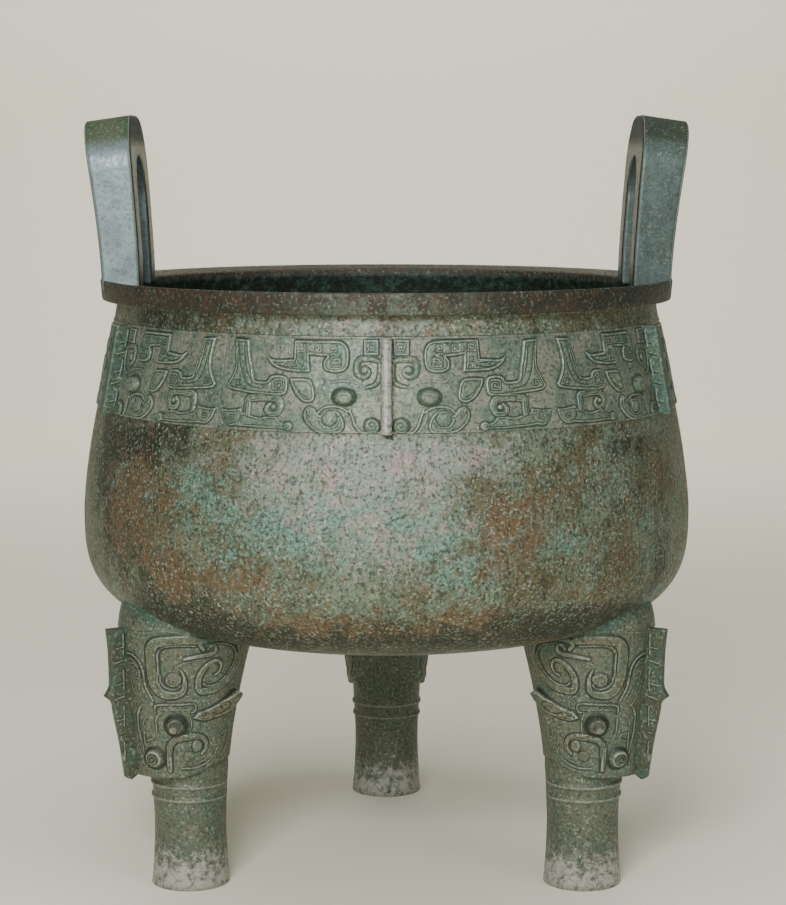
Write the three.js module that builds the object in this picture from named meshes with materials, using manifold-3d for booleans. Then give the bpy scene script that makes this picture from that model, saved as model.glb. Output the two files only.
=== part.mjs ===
// A large round-bellied bronze ding: a cooking vessel on three column legs, with two
// upright loop ears on its rim, a band of six animal masks round the neck and one
// mask on the top of each leg. It was cast in one, so it is one solid.
// Millimetres, +Z up. The ears stand at +X and -X, and one mask of the band looks
// along -Y. The origin is the middle of the ground that the whole vessel covers. It is
// a little behind the bowl's axis, because the back leg's ridge reaches past the belly.
import * as THREE from 'three';
import Module from 'manifold-3d';

const wasm = await Module();
wasm.setup();
const { Manifold, Mesh: ManifoldMesh } = wasm;

// Bowl
const mouthRadius = 388; // outside of the lip
const rimHeight = 801; // top edge of the lip above the ground
const lipHeight = 28;
const lipWidth = 34; // from the outer edge to the mouth
const lipFall = 6; // the lip's top slopes down this much towards the mouth
const lipTaper = 2; // the lip's lower edge is this much smaller than its upper edge
const neckRadius = 366; // just under the lip
const wall = 8;
const bellyRadius = 414.7; // at the widest ring
const bellyHeight = 487; // widest ring above the ground
const bowlDepth = 165; // from the widest ring down to the underside's middle
const floorSquareness = 3.9; // how flat the underside is, 2 for an ellipse
const flankSquareness = 3.1; // how full the flank under the widest ring is
const shoulderBend = 1.5; // how soon the wall leaves the upright above the widest ring

// Band of masks round the neck
const bandGap = 25.4; // plain neck between the lip and the band
const bandHeight = 116;
const bandTopRadius = 370;
const bandBottomRadius = 394.5;
const sideMask = 64; // degrees from the front mask to the masks beside it
const otherMasks = 58; // degrees between all the other masks
const reliefHeight = 4.5;
const eyeHeight = 10;
const reliefRoot = 4; // how deep raised work starts inside the wall it stands on
const ridgeWidth = 12.5; // the nose ridge in the middle of each mask
const ridgeReach = 20; // how far it stands out at the band's top
const ridgeFootReach = 18; // and at the band's foot

// Legs
const legCount = 3;
const legCircle = 303; // from the bowl's axis to each leg's axis
const footRadius = 52;
const waistRadius = 47.7;
const waistHeight = 85;
const ankleRadius = 51; // under the mask
const ringHeights = [121, 139];
const ringSwell = 2.5;
const ringWidth = 6;
const maskFoot = 157; // lower edge of the leg's mask above the ground
const maskTop = 354;
const brow = { front: 94, side: 84, back: 92 }; // leg half-widths at the mask's top
const chin = { front: 78, side: 58, back: 51 }; // and at its lower edge
const legTop = 402; // the leg ends inside the bowl's wall
const legShoulder = { front: 84, side: 86, back: 95 };
// The ridge down a leg's outward side, as distances from the leg's axis, top to bottom
const fin = { width: 12, top: 117, flare: 114, hook: 121, neck: 109, foot: 93, toe: 87 };
const finHookHeight = 265; // the hook's tip above the ground
const finFlareRise = 14; // from the hook's tip up to the flare
const finNeckDrop = 14; // from the hook's tip down to the neck
const finToeRise = 3; // how much the ridge's lower edge rises outward
const ringFade = 1.6; // how fast the rings fade towards the leg's inner side
const legReliefHeight = 4;
const bossRadius = 15; // eye on the leg
const bossHeight = 12;

// Ears
const earWidth = 205;
const earHeight = 218; // above the rim
const earInner = 326; // from the bowl's axis to the inner face at the rim
const earThickness = 51;
const earInnerLean = 15; // how far each face leans outward at the top
const earOuterLean = 26;
const earBend = 1.4; // how late the lean sets in
const earTopFall = 9; // how much the top slopes down outward
const earShoulder = 68;
const earGap = 105; // width of the loop's opening
const earArch = 54; // metal above the opening
const earRoot = 13; // how deep the ear stands in the lip

// Number of flat faces used for round shapes
const bowlSides = 36;
const hollowSides = 24;
const underSteps = 7;
const shoulderSteps = 3;
const legSides = 12;
const earSteps = 3;
const archSteps = 5;

const lipBottom = rimHeight - lipHeight;
const bandTop = lipBottom - bandGap;
const bandBottom = bandTop - bandHeight;
const front = -Math.PI / 2;
const maskTurns = [
  0,
  sideMask,
  sideMask + otherMasks,
  sideMask + 2 * otherMasks,
  sideMask + 3 * otherMasks,
  sideMask + 4 * otherMasks,
];

const mix = (a, b, t) => a + (b - a) * t;

// Solids

function solid(positions, triangles) {
  const mesh = new ManifoldMesh({
    numProp: 3,
    vertProperties: new Float32Array(positions),
    triVerts: new Uint32Array(triangles.flat()),
  });
  mesh.merge();
  return new Manifold(mesh);
}

// A prism between two matching rings of points, both counter-clockwise from outside.
function prism(lower, upper, triangles) {
  const n = lower.length;
  const faces = [];
  for (const [a, b, c] of triangles) {
    faces.push([a, c, b], [n + a, n + b, n + c]);
  }
  for (let i = 0; i < n; i++) {
    const j = (i + 1) % n;
    faces.push([i, j, n + j], [i, n + j, n + i]);
  }
  return solid([...lower, ...upper].flat(), faces);
}

// A closed skin over a stack of rings, each with the same number of points.
function loft(rings) {
  const n = rings[0].length;
  const faces = [];
  for (let i = 1; i < n - 1; i++) faces.push([0, i + 1, i]);
  for (let k = 0; k < rings.length - 1; k++) {
    for (let i = 0; i < n; i++) {
      const a = k * n + i;
      const b = k * n + ((i + 1) % n);
      faces.push([a, b, b + n], [a, b + n, a + n]);
    }
  }
  const last = (rings.length - 1) * n;
  for (let i = 1; i < n - 1; i++) faces.push([last, last + i, last + i + 1]);
  return solid(rings.flat(2), faces);
}

// A three.js geometry made into a solid, once points that coincide are joined.
function solidOf(geometry) {
  const place = geometry.getAttribute('position');
  const index = geometry.index;
  const count = index ? index.count : place.count;
  const known = new Map();
  const points = [];
  const corner = (i) => {
    const v = index ? index.getX(i) : i;
    const at = [place.getX(v), place.getY(v), place.getZ(v)];
    const key = at.map((x) => Math.round(x * 1e4)).join();
    if (!known.has(key)) {
      known.set(key, known.size);
      points.push(...at);
    }
    return known.get(key);
  };
  const faces = [];
  for (let i = 0; i < count; i += 3) {
    const face = [corner(i), corner(i + 1), corner(i + 2)];
    if (new Set(face).size === 3) faces.push(face);
  }
  return solid(points, faces);
}

// Turns a profile of [radius, height] points about the bowl's axis.
function turned(profile, sides) {
  const points = profile.map(([r, z]) => new THREE.Vector2(r, z));
  const geometry = new THREE.LatheGeometry(points, sides);
  geometry.rotateX(Math.PI / 2);
  return solidOf(geometry);
}

// Bowl

// Outside of the bowl from the underside's middle to the top of the neck.
function bowlOutline() {
  const outline = [];
  for (let i = 0; i <= underSteps; i++) {
    const t = (i / underSteps) * (Math.PI / 2);
    const r = bellyRadius * Math.sin(t) ** (2 / floorSquareness);
    const drop = bowlDepth * Math.max(0, Math.cos(t)) ** (2 / flankSquareness);
    outline.push([i === 0 ? 0 : r, bellyHeight - drop]);
  }
  for (let i = 1; i <= shoulderSteps; i++) {
    const t = i / shoulderSteps;
    const r = bellyRadius - (bellyRadius - bandBottomRadius) * t ** shoulderBend;
    outline.push([r, mix(bellyHeight, bandBottom, t)]);
  }
  outline.push([bandTopRadius, bandTop], [neckRadius, lipBottom]);
  return outline;
}

// The same outline moved inward by the wall.
function insideOf(outline) {
  return outline.map(([r, z], i) => {
    if (i === 0) return [0, z + wall];
    const [r0, z0] = outline[i - 1];
    const [r1, z1] = outline[Math.min(i + 1, outline.length - 1)];
    const length = Math.hypot(r1 - r0, z1 - z0);
    return [r - (wall * (z1 - z0)) / length, z + (wall * (r1 - r0)) / length];
  });
}

function filledBowl() {
  const slope = lipFall / lipWidth;
  return turned([
    ...bowlOutline(),
    [mouthRadius - lipTaper, lipBottom],
    [mouthRadius, rimHeight],
    [0, rimHeight - slope * mouthRadius],
  ], bowlSides);
}

function hollow() {
  const mouth = mouthRadius - lipWidth;
  return turned([
    ...insideOf(bowlOutline()),
    [mouth, rimHeight - lipFall],
    [mouth, rimHeight + lipHeight],
    [0, rimHeight + lipHeight],
  ], hollowSides);
}

// Raised work

// A band of even or tapering width along a path of [across, up] points.
function ribbon(path, startWidth, endWidth = startWidth) {
  const sides = [[], []];
  path.forEach(([x, y], i) => {
    const [x0, y0] = path[Math.max(i - 1, 0)];
    const [x1, y1] = path[Math.min(i + 1, path.length - 1)];
    const before = new THREE.Vector2(x - x0, y - y0).normalize();
    const after = new THREE.Vector2(x1 - x, y1 - y).normalize();
    const along = before.clone().add(after).normalize();
    const bend = Math.max(0.6, along.dot(i === 0 ? after : before));
    const half = mix(startWidth, endWidth, i / (path.length - 1)) / 2 / bend;
    sides[0].push([x - along.y * half, y + along.x * half]);
    sides[1].unshift([x + along.y * half, y - along.x * half]);
  });
  return sides.flat();
}

function oval(x, y, across, up, sides = 8) {
  return Array.from({ length: sides }, (_, i) => {
    const turn = (i / sides) * 2 * Math.PI;
    return [x + across * Math.cos(turn), y + up * Math.sin(turn)];
  });
}

// Raises an outline from the surface that place(across, up, height) describes.
// The sides draw in towards the top by the share given, about the outline's middle.
function raise(outline, place, height, { mirrored = false, drawIn = 0, root = reliefRoot } = {}) {
  let points = outline.map(([x, y]) => new THREE.Vector2(mirrored ? -x : x, y));
  if (THREE.ShapeUtils.isClockWise(points)) points = points.reverse();
  const middle = points.reduce((sum, p) => sum.add(p), new THREE.Vector2());
  middle.divideScalar(points.length);
  const triangles = THREE.ShapeUtils.triangulateShape(points, []);
  const lower = points.map((p) => place(p.x, p.y, -root));
  const top = points.map((p) => p.clone().lerp(middle, drawIn));
  const upper = top.map((p) => place(p.x, p.y, height));
  return prism(lower, upper, triangles);
}

// Masks of the band. Across is measured from the mask's nose ridge along the band,
// and up from the band's lower edge. A half mask fills half the space to the next one.

const halfMask = [
  {
    name: 'horn',
    shape: [
      [117, 112], [55, 112], [48, 75], [72, 75], [72, 94],
      [95, 94], [93, 73], [138, 74], [148, 90], [117, 84],
    ],
  },
  { name: 'ear', shape: [[116, 65], [107, 42], [87, 38], [90, 63]] },
  { name: 'jaw', shape: ribbon([[89, 31], [84, 9], [54, 8], [53, 24]], 10, 7) },
  {
    name: 'body',
    shape: [
      [196, 112], [173, 112], [162, 62], [141, 61], [138, 70], [121, 66],
      [124, 46], [190, 46],
    ],
  },
  {
    name: 'claw',
    shape: [
      [199, 26], [167, 23], [166, 42], [132, 42], [135, 29], [154, 32],
      [150, 16], [111, 8], [186, 8],
    ],
  },
];

// A point on the band, height mm above its ground, for the mask at this azimuth.
function onBand(azimuth) {
  const meanRadius = (bandTopRadius + bandBottomRadius) / 2;
  return (across, up, height) => {
    const share = up / bandHeight;
    const r = mix(bandBottomRadius, bandTopRadius, share) + height;
    const turn = azimuth + across / meanRadius;
    return [r * Math.cos(turn), r * Math.sin(turn), bandBottom + up];
  };
}

// The half mask is drawn for a band 116 high with 201.5 from the ridge to the next mask.
const drawnHeight = 116;
const drawnSpan = 201.5;
const faceSpan = 60; // this much next to the ridge keeps its width in every mask

// Fits an outline to a half mask that spans this many degrees. The face keeps its
// width, and what lies beside it stretches or shrinks.
function fitted(outline, degrees) {
  const meanRadius = (bandTopRadius + bandBottomRadius) / 2;
  const spare = meanRadius * THREE.MathUtils.degToRad(degrees) - drawnSpan;
  const up = bandHeight / drawnHeight;
  return outline.map(([x, y]) => {
    const beside = THREE.MathUtils.smoothstep(x, faceSpan, drawnSpan);
    return [x + spare * beside, y * up];
  });
}

function bandMask(azimuth, spans) {
  const place = onBand(azimuth);
  const pieces = [];
  spans.forEach((degrees, side) => {
    const mirrored = side === 1;
    for (const { shape } of halfMask) {
      pieces.push(raise(fitted(shape, degrees), place, reliefHeight, { mirrored }));
    }
    const eye = fitted(oval(51, 46, 15, 11), degrees);
    pieces.push(raise(eye, place, eyeHeight, { mirrored, drawIn: 0.3 }));
    const nostril = fitted(oval(18, 10, 9.5, 9, 6), degrees);
    pieces.push(raise(nostril, place, reliefHeight, { mirrored, drawIn: 0.25 }));
  });
  pieces.push(noseRidge(azimuth));
  return pieces;
}

// All the masks of the band. Each half reaches midway to the next mask.
function bandMasks() {
  const count = maskTurns.length;
  return maskTurns.flatMap((turn, i) => {
    const next = i === count - 1 ? 360 : maskTurns[i + 1];
    const last = i === 0 ? maskTurns[count - 1] - 360 : maskTurns[i - 1];
    const spans = [(next - turn) / 2, (turn - last) / 2];
    return bandMask(front + THREE.MathUtils.degToRad(turn), spans);
  });
}

// A plate standing on edge in the upright plane through the bowl's axis.
// Its outline is a list of [distance from the axis, height] points.
function standingPlate(outline, azimuth, width) {
  let points = outline.map(([r, z]) => new THREE.Vector2(r, z));
  if (THREE.ShapeUtils.isClockWise(points)) points = points.reverse();
  const triangles = THREE.ShapeUtils.triangulateShape(points, []);
  const side = (across) =>
    points.map(({ x: r, y: z }) => [
      r * Math.cos(azimuth) - across * Math.sin(azimuth),
      r * Math.sin(azimuth) + across * Math.cos(azimuth),
      z,
    ]);
  return prism(side(width / 2), side(-width / 2), triangles);
}

// The ridge down the middle of a mask, a little lower at its foot.
function noseRidge(azimuth) {
  const root = -reliefRoot * 2;
  const outline = [
    [bandBottomRadius + root, bandBottom],
    [bandBottomRadius + ridgeFootReach, bandBottom],
    [bandTopRadius + ridgeReach, bandTop],
    [bandTopRadius + root, bandTop],
  ];
  return standingPlate(outline, azimuth, ridgeWidth);
}

// Legs

// Half-widths of a leg at a height: outward, to the sides, and towards the bowl's axis.
function legHalves(z) {
  if (z < maskFoot) {
    const down = (waistHeight - z) / waistHeight;
    const up = (z - waistHeight) / (maskFoot - waistHeight);
    const r = z < waistHeight
      ? mix(waistRadius, footRadius, down ** 2)
      : mix(waistRadius, ankleRadius, up);
    return [r, r, r];
  }
  if (z > maskTop) {
    const t = (z - maskTop) / (legTop - maskTop);
    return ['front', 'side', 'back'].map((way) => mix(brow[way], legShoulder[way], t));
  }
  const t = (z - maskFoot) / (maskTop - maskFoot);
  return [
    mix(chin.front, brow.front, t),
    mix(chin.side, brow.side, t ** 1.3),
    mix(chin.back, brow.back, t ** 1.5),
  ];
}

// Distance from the leg's axis to its face, turn measured from the outward direction.
function legReach(turn, z) {
  const [out, side, back] = legHalves(z);
  const along = Math.cos(turn) / (Math.cos(turn) > 0 ? out : back);
  return 1 / Math.hypot(along, Math.sin(turn) / side);
}

function onLeg(azimuth) {
  const cx = legCircle * Math.cos(azimuth);
  const cy = legCircle * Math.sin(azimuth);
  return (turn, z, height) => {
    const r = legReach(turn, z) + height;
    return [cx + r * Math.cos(azimuth + turn), cy + r * Math.sin(azimuth + turn), z];
  };
}

function legBody(azimuth) {
  const place = onLeg(azimuth);
  const ring = (z, swell = 0) =>
    Array.from({ length: legSides }, (_, i) => {
      const turn = (i / legSides) * 2 * Math.PI;
      const outer = swell * Math.max(0, Math.min(1, 1 + ringFade * Math.cos(turn)));
      return place(turn, z, outer);
    });
  const rings = [ring(0), ring(waistHeight)];
  for (const z of ringHeights) {
    rings.push(ring(z - ringWidth / 2), ring(z, ringSwell), ring(z + ringWidth / 2));
  }
  rings.push(ring(maskFoot - 0.5), ring(maskFoot));
  rings.push(ring((maskFoot + maskTop) / 2), ring(maskTop), ring(legTop));
  return loft(rings);
}

// The hooked ridge down the outward side of a leg.
function legFin(azimuth) {
  const root = chin.front - reliefRoot * 3;
  const foot = maskFoot - ringWidth;
  const outline = [
    [root, maskTop],
    [root, maskFoot + ringWidth],
    [chin.front, maskFoot + ringWidth],
    [fin.toe, foot],
    [fin.foot, foot + finToeRise],
    [fin.neck, finHookHeight - finNeckDrop],
    [fin.hook, finHookHeight],
    [fin.flare, finHookHeight + finFlareRise],
    [fin.top, maskTop],
  ];
  return standingPlate(outline.map(([r, z]) => [legCircle + r, z]), azimuth, fin.width);
}

// Half of a leg's mask. Across is the arc at a radius of 75 from the fin's middle,
// and up is the height above the mask's lower edge, drawn for a mask 197 high.
const legDrawnHeight = 197;
const legDrawnRadius = 75;
const halfLegMask = [
  {
    name: 'inner scroll',
    shape: ribbon([[76, 138], [70, 114], [44, 118], [44, 176], [92, 182]], 11, 9),
  },
  {
    name: 'outer scroll',
    shape: ribbon([[108, 144], [108, 122], [144, 126], [150, 164], [84, 157]], 10, 5),
  },
  { name: 'ear', shape: [[94, 80], [149, 84], [172, 104], [160, 110], [118, 98]] },
  { name: 'jaw', shape: ribbon([[58, 14], [62, 50], [108, 50], [112, 20]], 9, 7) },
];

function legMask(azimuth) {
  const body = onLeg(azimuth);
  const scale = (maskTop - maskFoot) / legDrawnHeight;
  const place = (across, up, height) =>
    body(across / legDrawnRadius, maskFoot + up * scale, height);
  const pieces = [];
  for (const mirrored of [false, true]) {
    for (const { shape } of halfLegMask) {
      pieces.push(raise(shape, place, legReliefHeight, { mirrored }));
    }
    const eye = oval(67, 72, bossRadius, bossRadius, 6);
    pieces.push(raise(eye, place, bossHeight, { mirrored, drawIn: 0.45 }));
    const nostril = oval(33, 26, bossRadius * 0.9, bossRadius * 0.9, 5);
    pieces.push(raise(nostril, place, bossHeight * 0.6, { mirrored, drawIn: 0.3 }));
  }
  return pieces;
}

// Ears

function ear(side) {
  const half = earWidth / 2;
  const top = earHeight;
  const outline = new THREE.Shape();
  outline.moveTo(-half, -earRoot);
  outline.lineTo(half, -earRoot);
  for (let i = 1; i < earSteps; i++) {
    outline.lineTo(half, mix(0, top - earShoulder, i / earSteps));
  }
  outline.absarc(half - earShoulder, top - earShoulder, earShoulder, 0, Math.PI / 2);
  outline.absarc(earShoulder - half, top - earShoulder, earShoulder, Math.PI / 2, Math.PI);
  for (let i = earSteps - 1; i > 0; i--) {
    outline.lineTo(-half, mix(0, top - earShoulder, i / earSteps));
  }
  const gap = earGap / 2;
  const spring = top - earArch - gap;
  const opening = new THREE.Path();
  opening.moveTo(-gap, -earRoot / 4);
  for (let i = 1; i < earSteps; i++) {
    opening.lineTo(-gap, mix(0, spring, i / earSteps));
  }
  opening.absarc(0, spring, gap, Math.PI, 0, true);
  for (let i = earSteps - 1; i > 0; i--) {
    opening.lineTo(gap, mix(0, spring, i / earSteps));
  }
  opening.lineTo(gap, -earRoot / 4);
  outline.holes.push(opening);
  const geometry = new THREE.ExtrudeGeometry(outline, {
    depth: 1,
    bevelEnabled: false,
    curveSegments: archSteps,
  });
  const place = geometry.getAttribute('position');
  for (let i = 0; i < place.count; i++) {
    const up = place.getY(i);
    const share = Math.max(0, up / earHeight) ** earBend;
    const inner = earInner + earInnerLean * share;
    const outer = earInner + earThickness + earOuterLean * share;
    const y = place.getX(i);
    const x = mix(inner, outer, place.getZ(i));
    const fall = earTopFall * share * place.getZ(i);
    place.setXYZ(i, side * x, side * y, rimHeight + up - fall);
  }
  return solidOf(geometry);
}

// The whole vessel

function vessel() {
  const legs = [];
  for (let i = 0; i < legCount; i++) {
    const azimuth = front + Math.PI + (i * 2 * Math.PI) / legCount;
    legs.push(legBody(azimuth), legFin(azimuth), ...legMask(azimuth));
  }
  const outside = Manifold.union([filledBowl(), ...legs, ...bandMasks()]);
  return Manifold.union([outside.subtract(hollow()), ear(1), ear(-1)]);
}

function geometryOf(body) {
  const { numProp, vertProperties, triVerts } = body.getMesh();
  const geometry = new THREE.BufferGeometry();
  const points = new Float32Array((vertProperties.length / numProp) * 3);
  for (let i = 0; i < points.length / 3; i++) {
    points.set(vertProperties.subarray(i * numProp, i * numProp + 3), i * 3);
  }
  geometry.setAttribute('position', new THREE.BufferAttribute(points, 3));
  geometry.setIndex(Array.from(triVerts));
  geometry.computeVertexNormals();
  return geometry;
}

const bronze = new THREE.MeshStandardMaterial({
  color: 0x55695a,
  roughness: 0.6,
  metalness: 0.5,
});

const ding = new THREE.Group();
const body = new THREE.Mesh(geometryOf(vessel()), bronze);
body.name = 'vessel';
ding.add(body);
ding.position.y = (bellyRadius - (legCircle + fin.hook)) / 2;

export default ding;
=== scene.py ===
import math

import bpy
import numpy as np
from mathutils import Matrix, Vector


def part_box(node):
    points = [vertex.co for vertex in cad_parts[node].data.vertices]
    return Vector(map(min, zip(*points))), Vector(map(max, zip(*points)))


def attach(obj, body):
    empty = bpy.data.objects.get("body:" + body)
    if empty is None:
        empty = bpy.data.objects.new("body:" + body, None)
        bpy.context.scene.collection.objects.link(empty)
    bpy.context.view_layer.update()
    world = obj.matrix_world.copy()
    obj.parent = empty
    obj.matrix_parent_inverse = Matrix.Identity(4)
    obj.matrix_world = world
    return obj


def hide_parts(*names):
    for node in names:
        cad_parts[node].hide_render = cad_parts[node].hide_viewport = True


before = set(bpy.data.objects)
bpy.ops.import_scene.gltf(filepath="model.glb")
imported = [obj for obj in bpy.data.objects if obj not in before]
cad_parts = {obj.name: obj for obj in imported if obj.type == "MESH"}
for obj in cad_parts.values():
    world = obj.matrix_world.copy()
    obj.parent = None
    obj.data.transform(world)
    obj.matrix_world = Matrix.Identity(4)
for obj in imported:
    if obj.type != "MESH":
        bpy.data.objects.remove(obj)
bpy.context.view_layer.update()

# Measures shared with the frame

MM = 0.001
low_corner, high_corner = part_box("vessel")
BELLY_RADIUS = high_corner.x / MM
AXIS_Y = low_corner.y / MM + BELLY_RADIUS

RIM_HEIGHT = 801
LIP_HEIGHT = 28
LIP_WIDTH = 34
LIP_FALL = 6
MOUTH_RADIUS = 388
LIP_FOOT_RADIUS = 386
NECK_RADIUS = 366
WALL = 8
BELLY_HEIGHT = 487
BOWL_DEPTH = 165
FLOOR_SQUARENESS = 3.9
FLANK_SQUARENESS = 3.1
SHOULDER_BEND = 1.5

BAND_TOP = 747.6
BAND_HEIGHT = 116
BAND_BOTTOM = BAND_TOP - BAND_HEIGHT
BAND_TOP_RADIUS = 370
BAND_BOTTOM_RADIUS = 394.5
BAND_SINK = 3  # the bowl's wall lies this much under the band's ground
BAND_ROWS = 97
BAND_COLUMNS = 166  # over half a mask
BAND_RELIEF = 3.4
MASK_TURNS = (0, 64, 122, 180, 238, 296)  # degrees from the front mask
DRAWN_SPAN = 201.5  # from a mask's middle to its edge, as the masks are drawn here
FACE_SPAN = 60  # this much next to the ridge keeps its width in every mask
RIDGE_WIDTH = 12.5
RIDGE_REACH = 20
RIDGE_FOOT_REACH = 18
RIDGE_MARKS = (8, 17)  # the marks on a ridge's sides begin and end this far from its root

LEGS = 3
LEG_CIRCLE = 303
FOOT_RADIUS = 52
WAIST_RADIUS = 47.7
WAIST_HEIGHT = 85
ANKLE_RADIUS = 51
MASK_FOOT = 157
MASK_TOP = 354
BROW = (94, 84, 92)  # leg half-widths at the mask's top: outward, sideways, inward
CHIN = (78, 58, 51)
LEG_SHOULDER = (84, 86, 95)
LEG_TOP = 402
RING_HEIGHTS = (121, 139)
RING_SWELL = 2.5
RING_HALF_WIDTH = 3.4
LEG_ARC_RADIUS = 75  # across on the leg is measured as an arc of this radius
FIN_WIDTH = 12
FIN_MARKS = (27, 39)
LEG_AROUND = 300
LEG_MASK_ROWS = 136
LEG_RELIEF = 3
CRUST_TOP = 95  # the pale crust on the feet fades out at this height

EAR_WIDTH = 205
EAR_HEIGHT = 218
EAR_INNER = 326
EAR_THICKNESS = 51
EAR_INNER_LEAN = 15
EAR_OUTER_LEAN = 26
EAR_BEND = 1.4
EAR_TOP_FALL = 9
EAR_SHOULDER = 68
EAR_GAP = 105
EAR_ARCH = 54
EAR_ROOT = 13
EAR_ROUNDING = 2.2
EAR_LINE_DEPTH = 1.1
EAR_LINE_SPOTS = (0.16, 0.84)  # as shares of the broad face's width

FRONT = -math.pi / 2
LEG_APART = 500  # moves each leg along in the noise, so that no two have the same lumps
SMOOTH_COUNT = 30  # a line with this many points is smooth already
FAR = 99.0  # further than any relief reaches


# Small tools


def mix(a, b, t):
    return a + (b - a) * t


def smooth(low, high, x):
    t = np.clip((x - low) / (high - low), 0, 1)
    return t * t * (3 - 2 * t)


def round_axis(radius, turn, z):
    return np.stack([radius * np.cos(turn), radius * np.sin(turn), z], -1)


def turned(x, y, z, azimuth):
    """Points whose x runs outward and whose y runs sideways, turned to an azimuth."""
    return np.stack([
        x * math.cos(azimuth) - y * math.sin(azimuth),
        x * math.sin(azimuth) + y * math.cos(azimuth),
        z,
    ], -1)


def bell(x, middle, width):
    return np.exp(-((x - middle) / width) ** 2)


def lattice(ix, iy, iz, seed):
    """A number from 0 to 1 for each corner of a grid, scattered by whole-number steps."""
    n = (ix * 73856093) ^ (iy * 19349663) ^ (iz * 83492791) ^ (seed * 2654435761)
    n = n & 0x7FFFFFFF
    n = ((n ^ (n >> 13)) * 1274126177) & 0x7FFFFFFF
    return ((n ^ (n >> 16)) & 0xFFFF) / 65535.0


def noise(points, cell, seed):
    """Soft lumps from 0 to 1 over an array of points, with lumps about one cell wide."""
    at = np.asarray(points, float) / cell
    base = np.floor(at).astype(np.int64)
    t = at - base
    t = t * t * (3 - 2 * t)
    total = np.zeros(at.shape[:-1])
    for corner in range(8):
        step = [(corner >> axis) & 1 for axis in range(3)]
        weight = np.ones(at.shape[:-1])
        for axis in range(3):
            weight = weight * (t[..., axis] if step[axis] else 1 - t[..., axis])
        spot = [base[..., axis] + step[axis] for axis in range(3)]
        total = total + weight * lattice(*spot, seed)
    return total


def blur(field, reach):
    """Averages a grid over a square of 2 * reach + 1 cells."""
    for axis in (0, 1):
        pad = [(0, 0), (0, 0)]
        pad[axis] = (reach + 1, reach)
        sums = np.cumsum(np.pad(field, pad, mode="edge"), axis=axis)
        upper = np.take(sums, range(2 * reach + 1, sums.shape[axis]), axis=axis)
        lower = np.take(sums, range(0, sums.shape[axis] - 2 * reach - 1), axis=axis)
        field = (upper - lower) / (2 * reach + 1)
    return field


def curve(points, closed=False, steps=5):
    """A soft line through points. A point given twice stays a corner."""
    pts = [np.array(p, float) for p in points]
    count = len(pts)
    spans = range(count if closed else count - 1)
    line = []
    for i in spans:
        if closed:
            a, b, c, d = (pts[(i + k) % count] for k in (-1, 0, 1, 2))
        else:
            a, b = pts[max(i - 1, 0)], pts[i]
            c, d = pts[i + 1], pts[min(i + 2, count - 1)]
        if np.allclose(b, c):
            continue
        for k in range(steps):
            t = k / steps
            spot = 2 * b + (c - a) * t + (2 * a - 5 * b + 4 * c - d) * t**2
            line.append((spot + (3 * b - a - 3 * c + d) * t**3) / 2)
    if not closed:
        line.append(pts[-1])
    return np.array(line)


def spiral(x, y, radius, turns=1.6, start=0.0, hand=1, inner=0.18):
    """A line that winds inward round x, y from the radius given."""
    count = int(14 * turns) + 2
    t = np.linspace(0, 1, count)
    angle = start + hand * 2 * math.pi * turns * t
    reach = radius * (1 - (1 - inner) * t)
    return np.stack([x + reach * np.cos(angle), y + reach * np.sin(angle)], 1)


def even_line(points, count):
    """The same line with evenly spaced points."""
    points = np.asarray(points, float)
    gaps = np.hypot(*np.diff(points, axis=0).T)
    along = np.concatenate([[0], np.cumsum(gaps)])
    spots = np.linspace(0, along[-1], count)
    return np.stack([np.interp(spots, along, points[:, k]) for k in (0, 1)], 1)


def near_segment(px, py, start, end):
    """How far along a segment each point lies, from 0 to 1, and how far from it."""
    (x0, y0), (x1, y1) = start, end
    dx, dy = x1 - x0, y1 - y0
    t = ((px - x0) * dx + (py - y0) * dy) / max(dx * dx + dy * dy, 1e-9)
    t = np.clip(t, 0, 1)
    return t, np.hypot(px - x0 - t * dx, py - y0 - t * dy)


# Relief drawn on a field of points


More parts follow.
